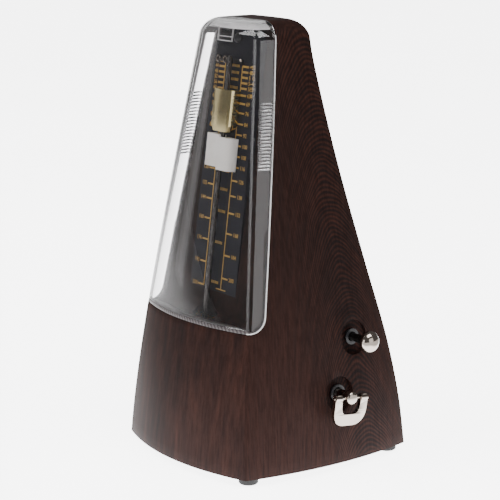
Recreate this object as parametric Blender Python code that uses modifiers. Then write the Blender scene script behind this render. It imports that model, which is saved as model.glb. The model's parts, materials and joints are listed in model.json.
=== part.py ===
"""A mechanical metronome, modelled as the pieces it comes apart into.

Metres, +Z up. The front faces -Y; the winding key and the beat selector are on the +X side.
Every shape is laid out from the upright axis of the case, and the whole is then moved so that
the origin lies under the centre of its bounding box.
"""
import math

import bmesh
import bpy
from mathutils import Matrix, Vector

# Case envelope
HEIGHT = 0.220
FOOT_HEIGHT = 0.004
BASE_HALF = 0.0508          # half width between the side corners, carried down to z = 0
SIDE_LEAN = 0.148           # inward lean of the upper sides
FLARE = 0.0049              # how far the foot is drawn in against that lean
FLARE_HEIGHT = 0.050
FRONT_BULGE = 0.096         # sagitta of a face over its width
SIDE_BULGE = 0.060
SIDE_BULGE_FADE = 0.65      # share of the side bulge that is lost by the top
REAR_BULGE = 0.030
DOME_INSET_X = 0.43         # share of the half width taken in by the domed top
DOME_INSET_Y = 0.42
REAR_STATIONS = ((0.004, 0.0507), (0.030, 0.0481), (0.060, 0.0424), (0.100, 0.0316),
                 (0.150, 0.0191), (0.200, 0.0094), (0.220, 0.0078))
RING_HEIGHTS = (0.004, 0.022, 0.042, 0.062, 0.084, 0.108, 0.135, 0.165, 0.190, 0.2105)
WALL = 0.0022
CORNER_RADIUS = 0.0018
COVER_WALL = 0.0017

# Parting plane of the clear cover
LEDGE_Z = 0.0736
RIM_Y = -0.0337             # rim plane at RIM_Z on the centre line
RIM_Z = 0.0828
RIM_LEAN = math.atan(0.157)
RIM_RADIUS = 0.009
GAP = 0.0003

# Pendulum
ROD_LEAN = math.atan(0.1256)
PIVOT = Vector((0.0, -0.0386, 0.067))
ROD_WIDTH = 0.0031
ROD_FOOT_WIDTH = 0.0041      # below the ledge, round the arbor and down to the bob
ROD_FOOT_TOP = 0.0036
ROD_THICKNESS = 0.0010
ARBOR_RADIUS = 0.0012
ROD_TOP = 0.1361            # along the rod from the pivot
ROD_BOTTOM = -0.056
BOB_RADIUS = 0.0160
BOB_THICKNESS = 0.0130
BOB_AT = -0.0430
WEIGHT_SIZE = (0.0158, 0.0206, 0.0052)
WEIGHT_AT = 0.1092
WEIGHT_CHAMFER = 0.0030
FOAM_SIZE = (0.0210, 0.0160, 0.0058)
FOAM_AT = 0.0882
FOAM_REAR = -0.0027
DIAL_BEHIND_ROD = 0.0031
DIAL_SEAT = 0.0014          # depth of the dial's rear face behind the rim plane
DIAL_HALF_BOTTOM = 0.0196
DIAL_HALF_TOP = 0.0180
DIAL_BOTTOM = 0.0107
DIAL_TOP = 0.1500
DIAL_ARCH = 0.0080
CATCH_AT = (-0.0062, 0.1452)
CATCH_LENGTH = 0.0193
CATCH_HEIGHT = 0.0043
CATCH_THICKNESS = 0.0014
CLIP_AT = (-0.0035, 0.1338, -0.0017)
CLIP_HALF = 0.0103          # half the length of the clip
CLIP_WIDTH = 0.0042
CLIP_CURL = 0.0016
CLIP_THICKNESS = 0.0005
LATCH_LOW = (-0.0131, 0.1428, -0.0011)
LATCH_HIGH = (-0.0008, 0.1533, 0.0003)

# Side shafts, as (y, z) across the case
KEY_AXIS = (0.0050, 0.0385)
SELECTOR_AXIS = (0.0172, 0.0645)
ESCAPE_AXIS = (-0.0230, 0.0550)
BELL_AXIS = (0.0100, 0.1100)
KEY_HUB_RADIUS = 0.00265
KEY_HUB_START = 0.0458
KEY_HEAD_RADIUS = 0.00325
KEY_HEAD_LENGTH = 0.0050
KEY_END = 0.0640
KEY_PIN_X = 0.0617
KEY_PIN_RADIUS = 0.00065
KEY_PIN_HALF = 0.0104
KEY_BORE_RADIUS = 0.00093
KEY_HOLE_RADIUS = 0.0037
KEY_ROLL = math.radians(-6.3)
SELECTOR_RADIUS = 0.0021
SELECTOR_HOLE_RADIUS = 0.0034
KNOB_RADIUS = 0.00545
KNOB_START = 0.0596
KNOB_THICKNESS = 0.0050
RECESS_RADIUS = 0.0087
RECESS_DEPTH = 0.0030

# Movement
PLATE_X = 0.0210            # inner face of each frame plate
PLATE_THICKNESS = 0.0016
MODULE = 0.0007
GREAT_TEETH = 60
SECOND_TEETH = 48
PINION_TEETH = 12
BELL_RADIUS = 0.0170
HAMMER_HEAD_RADIUS = 0.0025
WHEEL_X = 0.0128            # middle of the great wheel and of the pinion it drives
SECOND_WHEEL_X = 0.0066
RATCHET_X = 0.0168
CLICK_RISE = 0.0130         # click pivot above the winding arbor
CLICK_AT = (KEY_AXIS[0], KEY_AXIS[1] + CLICK_RISE)
CAM_RADIUS = 0.0062
PILLARS = ((-0.0220, 0.0120), (0.0220, 0.0120), (0.0215, 0.0790), (-0.0230, 0.0760))
FOOT_AT = (0.0440, 0.0440)
FOOT_RADIUS = 0.0048
FOOT_THICKNESS = 0.0038
BOSS_RADIUS = 0.0042
BOSS_HOLE_RADIUS = 0.0016
BASE_HOLE_RADIUS = 0.0022
SCREW_RADIUS = 0.0013

ACROSS = Matrix(((0, 0, 1, 0), (1, 0, 0, 0), (0, 1, 0, 0), (0, 0, 0, 1)))  # local XYZ along Y, Z, X
FACING = Matrix.Rotation(math.pi / 2, 4, "X")                              # local XYZ along X, Z, -Y
PENDULUM = Matrix.Translation(PIVOT) @ Matrix.Rotation(math.pi / 2 - ROD_LEAN, 4, "X")

MATERIALS = {
    "wood_plastic": ((0.075, 0.032, 0.026), 0.38, 0.0),
    "black_plastic": ((0.020, 0.020, 0.023), 0.45, 0.0),
    "clear_plastic": ((0.80, 0.80, 0.82), 0.08, 0.0),
    "dial_black": ((0.028, 0.028, 0.034), 0.50, 0.0),
    "rubber": ((0.020, 0.020, 0.020), 0.80, 0.0),
    "steel": ((0.45, 0.44, 0.43), 0.35, 1.0),
    "nickel": ((0.66, 0.62, 0.57), 0.22, 1.0),
    "gold_plate": ((0.83, 0.62, 0.28), 0.22, 1.0),
    "brass": ((0.72, 0.52, 0.22), 0.32, 1.0),
    "dark_steel": ((0.12, 0.115, 0.11), 0.40, 1.0),
    "spring_steel": ((0.20, 0.21, 0.24), 0.30, 1.0),
    "cast_iron": ((0.16, 0.16, 0.16), 0.55, 1.0),
    "foam": ((0.80, 0.77, 0.73), 0.95, 0.0),
}


# ---------------------------------------------------------------- helpers

def clear_scene():
    for obj in list(bpy.data.objects):
        bpy.data.objects.remove(obj, do_unlink=True)


def collection(name):
    made = bpy.data.collections.new(name)
    bpy.context.scene.collection.children.link(made)
    return made


def material(name):
    """The named Principled material, made once."""
    if name in bpy.data.materials:
        return bpy.data.materials[name]
    color, roughness, metallic = MATERIALS[name]
    made = bpy.data.materials.new(name)
    made.use_nodes = True
    shader = made.node_tree.nodes["Principled BSDF"]
    shader.inputs["Base Color"].default_value = (*color, 1.0)
    shader.inputs["Roughness"].default_value = roughness
    shader.inputs["Metallic"].default_value = metallic
    return made


class Bench:
    """The two collections, the root empty and the empties on the joint axes."""

    def __init__(self):
        self.parts = collection("metronome")
        self.cutters = collection("cutters")
        self.root = self.empty("metronome_root", (0, 0, 0))

    def empty(self, name, place, parent=None):
        made = bpy.data.objects.new(name, None)
        made.empty_display_size = 0.01
        self.parts.objects.link(made)
        made.parent = parent
        made.location = Vector(place) - (parent.location if parent else Vector())
        return made

    def body(self, name, place):
        return self.empty(name, place, self.root)

    def part(self, obj, finish, body=None):
        """Finish a piece and hang it on its body's empty without moving it."""
        obj.data.materials.clear()
        obj.data.materials.append(material(finish))
        self.parts.objects.link(obj)
        body = body or self.root
        obj.parent = body
        obj.location = obj.location - body.location
        obj.data.shade_smooth()
        if obj.type == "MESH":
            obj.data.set_sharp_from_angle(angle=math.radians(32))
        return obj

    def cutter(self, obj):
        self.cutters.objects.link(obj)
        obj.parent = self.root
        obj.hide_render = True
        obj.display_type = "WIRE"
        return obj


def new_mesh(name, bm, matrix=None):
    """An object from a bmesh, with the matrix laid into its points."""
    if matrix is not None:
        bmesh.ops.transform(bm, matrix=matrix, verts=bm.verts)
    bmesh.ops.recalc_face_normals(bm, faces=bm.faces)
    mesh = bpy.data.meshes.new(name)
    bm.to_mesh(mesh)
    bm.free()
    return bpy.data.objects.new(name, mesh)


def loft(name, rings, matrix=None):
    """A closed skin through rings that have the same number of points."""
    bm = bmesh.new()
    loops = [[bm.verts.new(point) for point in ring] for ring in rings]
    count = len(loops[0])
    for low, high in zip(loops, loops[1:]):
        for i in range(count):
            j = (i + 1) % count
            bm.faces.new((low[i], low[j], high[j], high[i]))
    bm.faces.new(loops[0])
    bm.faces.new(loops[-1])
    bmesh.ops.recalc_face_normals(bm, faces=bm.faces)
    bmesh.ops.triangulate(bm, faces=bm.faces)
    return new_mesh(name, bm, matrix)


def box(name, low, high, matrix=None):
    """A box between two corners."""
    low, high = Vector(low), Vector(high)
    size = high - low
    bm = bmesh.new()
    bmesh.ops.create_cube(bm, size=1.0)
    bmesh.ops.scale(bm, vec=size, verts=bm.verts)
    bmesh.ops.translate(bm, vec=(low + high) / 2, verts=bm.verts)
    return new_mesh(name, bm, matrix)


def rod(name, radius, start, end, segments=16, end_radius=None):
    """A round rod, or a cone, between two points."""
    start, end = Vector(start), Vector(end)
    along = end - start
    bm = bmesh.new()
    bmesh.ops.create_cone(bm, cap_ends=True, segments=segments, radius1=radius,
                          radius2=radius if end_radius is None else end_radius, depth=along.length)
    turn = along.to_track_quat("Z", "Y").to_matrix().to_4x4()
    return new_mesh(name, bm, Matrix.Translation((start + end) / 2) @ turn)


def turned(name, profile, matrix, steps=32, ring=False):
    """A profile of (radius, height), down its outer side, turned about local Z by a Screw."""
    mesh = bpy.data.meshes.new(name)
    edges = [(i, i + 1) for i in range(len(profile) - 1)]
    if ring:
        edges.append((len(profile) - 1, 0))
    mesh.from_pydata([(r, 0.0, h) for r, h in profile], edges, [])
    obj = bpy.data.objects.new(name, mesh)
    screw = obj.modifiers.new("turn", "SCREW")
    screw.steps = steps
    screw.render_steps = steps
    screw.use_merge_vertices = True
    screw.merge_threshold = 0.000001
    obj.matrix_world = matrix
    return obj


def plate(name, outlines, thickness, matrix):
    """A flat plate: filled 2D outlines, the first outside and the rest holes, as a welded mesh."""
    curve = bpy.data.curves.new(name, "CURVE")
    curve.dimensions = "2D"
    curve.fill_mode = "BOTH"
    curve.extrude = thickness / 2
    for outline in outlines:
        spline = curve.splines.new("POLY")
        spline.points.add(len(outline) - 1)
        for point, (u, v) in zip(spline.points, outline):
            point.co = (u, v, 0.0, 1.0)
        spline.use_cyclic_u = True
    guide = bpy.data.objects.new(name + "_outline", curve)
    bpy.context.scene.collection.objects.link(guide)
    graph = bpy.context.evaluated_depsgraph_get()
    mesh = bpy.data.meshes.new_from_object(guide.evaluated_get(graph))
    bpy.data.objects.remove(guide, do_unlink=True)
    bm = bmesh.new()
    bm.from_mesh(mesh)
    bmesh.ops.remove_doubles(bm, verts=bm.verts, dist=0.000005)
    bpy.data.meshes.remove(mesh)
    return new_mesh(name, bm, matrix)


def boolean(obj, other, operation="DIFFERENCE"):
    modifier = obj.modifiers.new(other.name, "BOOLEAN")
    modifier.operation = operation
    modifier.object = other
    modifier.solver = "EXACT"


def circle(radius, count, centre=(0.0, 0.0), start=0.0):
    return [(centre[0] + radius * math.cos(start + math.tau * i / count),
             centre[1] + radius * math.sin(start + math.tau * i / count)) for i in range(count)]


def tooth_outline(teeth, root, tip, root_share, tip_share, start, lean=0.0):
    """A toothed outline: each tooth is a trapezium of the given shares of the pitch."""
    pitch = math.tau / teeth
    points = []
    for i in range(teeth):
        middle = start + i * pitch
        for radius, offset in ((root, -root_share / 2), (tip, lean - tip_share / 2),
                               (tip, lean + tip_share / 2), (root, root_share / 2)):
            angle = middle + offset * pitch
            points.append((radius * math.cos(angle), radius * math.sin(angle)))
    return points


def gear(name, teeth, width, place, start, bore):
    """A spur gear about X; place is (x middle, y, z) and start the angle of one tooth."""
    pitch_radius = MODULE * teeth / 2
    outline = tooth_outline(teeth, pitch_radius - 1.0 * MODULE, pitch_radius + 0.7 * MODULE,
                            0.44, 0.20, start)
    matrix = Matrix.Translation(place) @ ACROSS
    return plate(name, [outline, circle(bore, 20)], width, matrix)


def angle_between(start, end):
    return math.atan2(end[1] - start[1], end[0] - start[0])


def meet(first, first_radius, second, second_radius):
    """The upper crossing of two circles in the (y, z) plane."""
    a, b = Vector(first), Vector(second)
    apart = (b - a).length
    along = (first_radius ** 2 - second_radius ** 2 + apart ** 2) / (2 * apart)
    away = math.sqrt(first_radius ** 2 - along ** 2)
    unit = (b - a) / apart
    side = Vector((-unit.y, unit.x))
    if side.y < 0:
        side = -side
    return tuple(a + unit * along + side * away)


def along_x(y_z, x):
    return (x, y_z[0], y_z[1])


def shaft_frame(axis):
    """Local Z along +X through an axis given as (y, z)."""
    return Matrix.Translation(along_x(axis, 0)) @ ACROSS


def bar_along(direction, near, far, near_half, far_half):
    """A tapering bar's outline from `near` to `far` along a unit vector."""
    side = Vector((-direction.y, direction.x))
    start = [tuple(direction * near + side * s * near_half) for s in (-1, 1)]
    return start + [tuple(direction * far + side * s * far_half) for s in (1, -1)]


# ---------------------------------------------------------------- case envelope

def half_width(z):
    return BASE_HALF - SIDE_LEAN * z + FLARE * (1 - math.exp(-z / FLARE_HEIGHT))


def side_bulge(z):
    """Crown of a side wall over its width: flatter towards the top."""
    return SIDE_BULGE * (1 - SIDE_BULGE_FADE * (z / HEIGHT) ** 5)


def rear_depth(z):
    """Depth behind the axis: a smooth curve through the rear stations."""
    stations = REAR_STATIONS
    z = min(max(z, stations[0][0]), stations[-1][0])
    k = 0
    while k < len(stations) - 2 and z > stations[k + 1][0]:
        k += 1

    def slope(i):
        low, high = max(i - 1, 0), min(i + 1, len(stations) - 1)
        return (stations[high][1] - stations[low][1]) / (stations[high][0] - stations[low][0])

    span = stations[k + 1][0] - stations[k][0]
    t = (z - stations[k][0]) / span
    return ((2 * t**3 - 3 * t**2 + 1) * stations[k][1] + (t**3 - 2 * t**2 + t) * span * slope(k)
            + (3 * t**2 - 2 * t**3) * stations[k + 1][1] + (t**3 - t**2) * span * slope(k + 1))


def section(z, inset=0.0, side_steps=6):
    """The outline of the case at a height: four crowned sides with rounded corners."""
    wide = half_width(z) - inset
    front = half_width(z) - inset
    rear = rear_depth(z) - inset
    corners = [Vector((-wide, -front)), Vector((wide, -front)), Vector((wide, rear)), Vector((-wide, rear))]
    bulges = (FRONT_BULGE, side_bulge(z), REAR_BULGE, side_bulge(z))
    radius = max(CORNER_RADIUS - inset * 0.5, 0.0008)
    sides = []
    for k in range(4):
        start, end = corners[k], corners[(k + 1) % 4]
        run = end - start
        outward = Vector((run.y, -run.x)).normalized()
        trim = radius / run.length
        points = []
        for i in range(side_steps + 1):
            t = trim + (1 - 2 * trim) * i / side_steps
            rise = bulges[k] * 2 * half_width(z) * 4 * t * (1 - t)
            points.append(start + run * t + outward * rise)
        sides.append(points)
    outline = []
    for k in range(4):
        outline += sides[k]
        end, corner, start = sides[k][-1], corners[(k + 1) % 4], sides[(k + 1) % 4][0]
        outline.append(end * 0.25 + corner * 0.5 + start * 0.25)
    return [(p.x, p.y) for p in outline]


def envelope(name, inset=0.0, floor=FOOT_HEIGHT):
    """The whole tapering body with its domed top, inset by a wall."""
    rings = []
    for z in (floor,) + tuple(h for h in RING_HEIGHTS if h > floor + 0.003):
        rings.append([(x, y, z) for x, y in section(z, inset)])
    top = HEIGHT - inset
    start = RING_HEIGHTS[-1]
    base = section(start, inset)
    middle = (min(p[1] for p in base) + max(p[1] for p in base)) / 2
    for step in (0.35, 0.62, 0.82, 0.94, 1.0):
        rise = math.sin(step * math.pi / 2)
        shrink = 1 - math.cos(step * math.pi / 2)
        z = start + (top - start) * rise
        lean = half_width(z) / half_width(start)
        scale_x = lean * (1 - DOME_INSET_X * shrink)
        scale_y = 1 - DOME_INSET_Y * shrink
        rings.append([(x * scale_x, middle + (y - middle) * scale_y, z) for x, y in base])
    return loft(name, rings)


def cover_region(name, grow=0.0, corner=RIM_RADIUS):
    """Everything in front of the rim plane and above the ledge, as a prism across the case."""
    slope = math.tan(RIM_LEAN)

    def rim_y(z):
        return RIM_Y + slope * (z - RIM_Z) + grow / math.cos(RIM_LEAN)

    floor = LEDGE_Z - grow
    radius = corner + grow
    centre = Vector((rim_y(floor + radius) - radius, floor + radius))
    outline = [(-0.09, floor), (centre.x, floor)]
    for i in range(1, 5):
        angle = -math.pi / 2 + (math.pi / 2 - RIM_LEAN) * i / 4
        outline.append((centre.x + radius * math.cos(angle), centre.y + radius * math.sin(angle)))
    outline.append((rim_y(0.24), 0.24))
    outline.append((-0.09, 0.24))
    return plate(name, [outline], 0.16, ACROSS)


# ---------------------------------------------------------------- case

def side_normal(height):
    """Outward direction of the right-hand wall near a height."""
    lean = (half_width(height - 0.005) - half_width(height + 0.005)) / 0.010
    return Vector((1.0, 0.0, lean)).normalized()


def side_x(y_z):
    """The right-hand wall's outer surface at (y, z)."""
    y, z = y_z
    front, rear = -half_width(z), rear_depth(z)
    t = (y - front) / (rear - front)
    return half_width(z) + side_bulge(z) * 2 * half_width(z) * 4 * t * (1 - t)


def make_case(bench):
    shell = envelope("case_shell")
    region = bench.cutter(cover_region("cover_space"))
    inside = envelope("case_inside", WALL, floor=-0.002)
    boolean(inside, bench.cutter(cover_region("panel_space", WALL)))
    bench.cutter(inside)
    boolean(shell, region)
    boolean(shell, inside)

    for sx in (-1, 1):
        for sy in (-1, 1):
            at = (sx * FOOT_AT[0], sy * FOOT_AT[1])
            name = f"boss_{'l' if sx < 0 else 'r'}{'f' if sy < 0 else 'b'}"
            boss = bench.cutter(rod(name, BOSS_RADIUS, (*at, 0.0068), (*at, 0.020), 12))
            boolean(shell, boss, "UNION")
            hole = bench.cutter(rod(name + "_hole", BOSS_HOLE_RADIUS, (*at, 0.0), (*at, 0.017), 12))
            boolean(shell, hole)

    skin = bench.cutter(envelope("boss_limit", 0.00004))
    for name, axis, hole_radius in (("key", KEY_AXIS, KEY_HOLE_RADIUS),
                                    ("selector", SELECTOR_AXIS, SELECTOR_HOLE_RADIUS)):
        outward = side_normal(axis[1])
        surface = Vector(along_x(axis, side_x(axis)))
        outside = surface + outward * 0.008
        cup = rod(f"{name}_cup", RECESS_RADIUS + 0.0016, surface - outward * 0.0062, outside, 24)
        boolean(cup, skin, "INTERSECT")
        boolean(shell, bench.cutter(cup), "UNION")
        recess = rod(f"{name}_recess", RECESS_RADIUS, surface - outward * RECESS_DEPTH, outside, 32)
        boolean(shell, bench.cutter(recess))
        hole = rod(f"{name}_hole", hole_radius, along_x(axis, 0.040), along_x(axis, 0.060), 20)
        boolean(shell, bench.cutter(hole))

    slot_y = PIVOT.y + math.tan(ROD_LEAN) * (LEDGE_Z - PIVOT.z)
    slot = box("rod_slot", (-0.0090, slot_y - 0.0022, 0.060), (0.0090, slot_y + 0.0020, 0.080))
    boolean(shell, bench.cutter(slot))
    bench.part(shell, "wood_plastic")


def make_base(bench):
    outline = section(0.0060, WALL + GAP)
    base = loft("base_plate", [[(x, y, z) for x, y in outline] for z in (FOOT_HEIGHT + 0.0002, 0.0065)])
    for i in range(5):
        y = 0.010 + i * 0.0055
        slot = box(f"sound_slot_{i + 1}", (-0.016, y, 0.0), (0.016, y + 0.0025, 0.010))
        boolean(base, bench.cutter(slot))
    screws = []
    for sx in (-1, 1):
        for sy in (-1, 1):
            x, y = sx * FOOT_AT[0], sy * FOOT_AT[1]
            side = f"{'front' if sy < 0 else 'rear'}_{'left' if sx < 0 else 'right'}"
            hole = rod(f"base_hole_{side}", BASE_HOLE_RADIUS, (x, y, 0.0), (x, y, 0.010), 12)
            boolean(base, bench.cutter(hole))
            profile = [(0, FOOT_THICKNESS), (FOOT_RADIUS, FOOT_THICKNESS), (FOOT_RADIUS, 0.0006),
                       (FOOT_RADIUS - 0.0006, 0.0), (0, 0.0)]
            foot = turned(f"foot_{side}", profile, Matrix.Translation((x, y, 0)), 24)
            bench.part(foot, "rubber")
            screws.append((x, y))
    bench.part(base, "black_plastic")
    profile = [(0, 0.0160), (SCREW_RADIUS, 0.0150), (SCREW_RADIUS, 0.0042), (0, 0.0042)]
    for i, (x, y) in enumerate(screws):
        screw = turned(f"base_screw_{i + 1}", profile, Matrix.Translation((x, y, 0)), 12)
        bench.part(screw, "dark_steel")


def dial_blank(bench, name, grow, front):
    """The arched dial grown by a gap, from `front` ahead of its face back to its seat."""
    foot = DIAL_BOTTOM - grow
    outline = [(-DIAL_HALF_BOTTOM - grow, foot), (DIAL_HALF_BOTTOM + grow, foot)]
    for side, start in ((1, 0.0), (-1, math.pi / 2)):
        for i in range(5):
            turn = start + math.pi / 2 * i / 4
            outline.append((side * (DIAL_HALF_TOP - DIAL_ARCH) + (DIAL_ARCH + grow) * math.cos(turn),
                            DIAL_TOP - DIAL_ARCH + (DIAL_ARCH + grow) * math.sin(turn)))
    depth = 0.0120 + front
    place = PENDULUM @ Matrix.Translation((0, 0, front - DIAL_BEHIND_ROD - depth / 2))
    blank = plate(name, [outline], depth, place)
    boolean(blank, bench.cutter(cover_region(f"{name}_seat", DIAL_SEAT + grow, 0.001)), "INTERSECT")
    return blank


def make_dial(bench):
    """The dial leans with the rod, so it stands a little proud of the panel towards the top."""
    dial = dial_blank(bench, "dial_plate", 0.0, 0.0)
    pocket = dial_blank(bench, "dial_pocket", GAP, 0.010)
    boolean(bpy.data.objects["case_shell"], bench.cutter(pocket))
    bench.part(dial, "dial_black")


def make_catch(bench):
    """Black bar with round ends across the top of the dial, behind the cover's latch."""
    radius = CATCH_HEIGHT / 2
    outline = []
    for side, start in ((1, -math.pi / 2), (-1, math.pi / 2)):
        centre_x = CATCH_AT[0] + side * (CATCH_LENGTH / 2 - radius)
        for i in range(9):
            turn = start + math.pi * i / 8
            outline.append((centre_x + radius * math.cos(turn), CATCH_AT[1] + radius * math.sin(turn)))
    place = PENDULUM @ Matrix.Translation((0, 0, -0.0021))
    catch = plate("cover_catch", [outline], CATCH_THICKNESS, place)
    bench.part(catch, "black_plastic")


def make_clip(bench):
    """Bright spring clip behind the rod's tip, curled at both ends."""
    floor, lip = -0.0011, 0.0009
    shoulder = lip - 0.0008
    right = [(CLIP_HALF - 0.0010, floor), (CLIP_HALF + 0.0002, floor + 0.0010), (CLIP_HALF, shoulder),
             (CLIP_HALF - CLIP_CURL, lip)]
    right += [(CLIP_HALF - CLIP_CURL, lip - CLIP_THICKNESS), (CLIP_HALF - CLIP_THICKNESS, shoulder),
              (CLIP_HALF - CLIP_THICKNESS, floor + 0.0010), (CLIP_HALF - 0.0012, floor + CLIP_THICKNESS)]
    outline = right + [(-u, v) for u, v in reversed(right)]
    clip = plate("pendulum_clip", [outline], CLIP_WIDTH, PENDULUM @ Matrix.Translation(CLIP_AT) @ FACING)
    bench.part(clip, "nickel")


def make_cover(bench, body):
    cover = envelope("front_cover")
    boolean(cover, bench.cutter(cover_region("cover_limit", -GAP)), "INTERSECT")
    hollow = envelope("cover_hollow", COVER_WALL, floor=LEDGE_Z + 0.0019)
    throat = envelope("cover_throat", COVER_WALL + 0.0036, floor=LEDGE_Z - 0.010)
    boolean(cover, bench.cutter(hollow))
    boolean(cover, bench.cutter(throat))
    boolean(cover, bench.cutter(box("latch_tab", LATCH_LOW, LATCH_HIGH, PENDULUM)), "UNION")
    bench.part(cover, "clear_plastic", body)


# ---------------------------------------------------------------- pendulum

def make_pendulum(bench, body):
    half, foot_half, tip = ROD_WIDTH / 2, ROD_FOOT_WIDTH / 2, 0.0009
    right = [(foot_half, ROD_BOTTOM), (foot_half, ROD_FOOT_TOP), (half, ROD_FOOT_TOP + 0.0012),
             (half, ROD_TOP - tip), (half - tip, ROD_TOP)]
    outline = right + [(-u, v) for u, v in reversed(right)]
    strip = plate("pendulum_rod", [outline, circle(ARBOR_RADIUS + 0.00025, 16)], ROD_THICKNESS, PENDULUM)
    bench.part(strip, "steel", body)
    profile = [(0, 0.0016), (ARBOR_RADIUS, 0.0016), (ARBOR_RADIUS, -0.0006), (ARBOR_RADIUS, -0.0195),
               (0, -0.0195)]
    bench.part(turned("pendulum_arbor", profile, PENDULUM, 16), "steel", body)
    for side, x in (("left", -0.0027), ("right", 0.0027)):
        low, high = (x - 0.0004, -0.0046, -0.0182), (x + 0.0004, 0.0020, -0.0146)
        pallet = box(f"pallet_{side}", low, high, PENDULUM)
        bench.part(pallet, "spring_steel", body)
    rim, flat, edge = BOB_RADIUS, BOB_THICKNESS / 2, 0.0015
    profile = [(0, flat), (rim - edge, flat), (rim, flat - edge), (rim, edge - flat), (rim - edge, -flat),
               (0, -flat)]
    bob = turned("pendulum_bob", profile, PENDULUM @ Matrix.Translation((0, BOB_AT, 0)), 28)
    groove = box("bob_groove", (-foot_half - GAP, BOB_AT - 0.014, -ROD_THICKNESS / 2 - GAP),
                 (foot_half + GAP, BOB_AT + 0.030, BOB_THICKNESS), PENDULUM)
    boolean(bob, bench.cutter(groove))
    bench.part(bob, "cast_iron", body)


def make_weight(bench, weight_body, foam_body):
    room = ROD_WIDTH / 2 + GAP
    wide, tall, deep = WEIGHT_SIZE
    low, high = WEIGHT_AT - tall / 2, WEIGHT_AT + tall / 2
    right = [(wide / 2 - WEIGHT_CHAMFER, low), (wide / 2, low + WEIGHT_CHAMFER), (wide / 2, high)]
    outline = right + [(-u, v) for u, v in reversed(right)]
    weight = plate("sliding_weight", [outline], deep, PENDULUM)
    channel = box("weight_channel", (-room, low - 0.002, -0.0018), (room, high + 0.002, 0.0008), PENDULUM)
    boolean(weight, bench.cutter(channel))
    bench.part(weight, "gold_plate", weight_body)
    spring = box("weight_spring", (-0.0012, WEIGHT_AT - 0.0075, -0.00145),
                 (0.0012, WEIGHT_AT + 0.0075, -0.0009), PENDULUM)
    bench.part(spring, "spring_steel", weight_body)

    wide, tall, deep = FOAM_SIZE
    low, high = FOAM_AT - tall / 2, FOAM_AT + tall / 2
    foam = box("transit_foam", (-wide / 2, low, FOAM_REAR), (wide / 2, high, FOAM_REAR + deep), PENDULUM)
    slit = box("foam_slit", (-room, low - 0.002, -0.0010), (room, high + 0.002, 0.0010), PENDULUM)
    boolean(foam, bench.cutter(slit))
    cut = box("foam_cut", (-GAP, low - 0.002, 0.0), (GAP, high + 0.002, 0.009), PENDULUM)
    boolean(foam, bench.cutter(cut))
    bench.part(foam, "foam", foam_body)


def make_brackets(bench):
    """Two plates between the frame plates that carry the pendulum's arbor."""
    reach = PLATE_X - GAP
    for name, y, low, high, right, bore, thick in (
            ("pendulum_bracket_front", -0.0330, 0.0570, 0.0700, reach, 0.0018, 0.0016),
            ("pendulum_bracket_rear", -0.0195, 0.0623, 0.0700, 0.0030, 0.0016, 0.0014)):
        hole = (0, PIVOT.z + math.tan(ROD_LEAN) * (PIVOT.y - y))
        outline = [(-reach, low), (right, low), (right, high), (-reach, high)]
        place = Matrix.Translation((0, y, 0)) @ FACING
        bench.part(plate(name, [outline, circle(bore, 16, hole)], thick, place), "brass")


# ---------------------------------------------------------------- movement

def make_frame_plates(bench, second_axis):
    """The left plate rises higher, because it also carries the bell."""
    front = [(-0.020, 0.084), (-0.0345, 0.0700), (-0.0345, 0.056), (-0.026, 0.050)]
    foot = [(-0.026, 0.0068), (0.026, 0.0068), (0.026, 0.080)]
    mast = [(0.0165, 0.092), (0.0165, 0.116), (0.0035, 0.116), (0.0035, 0.092)]
    bores = ((KEY_AXIS, 0.0018), (second_axis, 0.0013), (ESCAPE_AXIS, 0.0013))
    bores += tuple((at, 0.0014) for at in PILLARS)
    sides = (("frame_plate_left", -1, foot + mast + front, ((SELECTOR_AXIS, 0.0021), (BELL_AXIS, 0.0014))),
             ("frame_plate_right", 1, foot + [(0.020, 0.084)] + front, ((SELECTOR_AXIS, 0.0026),)))
    for name, side, outline, more in sides:
        holes = [circle(radius, 16, axis) for axis, radius in bores + more]
        place = Matrix.Translation((side * (PLATE_X + PLATE_THICKNESS / 2), 0, 0)) @ ACROSS
        bench.part(plate(name, [outline] + holes, PLATE_THICKNESS, place), "brass")


def make_pillars(bench):
    reach = PLATE_X - 0.0002
    stub = PLATE_X + PLATE_THICKNESS + 0.0006
    profile = [(0, stub), (0.0011, stub), (0.0011, reach), (0.0020, reach), (0.0020, -reach),
               (0.0011, -reach), (0.0011, -stub), (0, -stub)]
    for i, at in enumerate(PILLARS):
        bench.part(turned(f"frame_pillar_{i + 1}", profile, shaft_frame(at), 14), "brass")


def make_mainspring(bench):
    wall, radius, right, left, bore = 0.0008, 0.0165, -0.0045, -0.0206, 0.0024
    profile = [(radius, right), (radius, left), (bore, left), (bore, left + wall),
               (radius - wall, left + wall), (radius - wall, right)]
    bench.part(turned("mainspring_barrel", profile, shaft_frame(KEY_AXIS), 32, ring=True), "brass")
    turns, steps, thick, inside, outside = 5, 18, 0.00045, 0.0052, 0.0150
    outer, inner = [], []
    for i in range(turns * steps + 1):
        angle = math.tau * i / steps
        radius = inside + (outside - inside) * i / (turns * steps)
        outer.append(((radius + thick) * math.cos(angle), (radius + thick) * math.sin(angle)))
        inner.append((radius * math.cos(angle), radius * math.sin(angle)))
    place = Matrix.Translation(along_x(KEY_AXIS, -0.0124)) @ ACROSS
    bench.part(plate("mainspring", [outer + inner[::-1]], 0.0130, place), "spring_steel")


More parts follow.
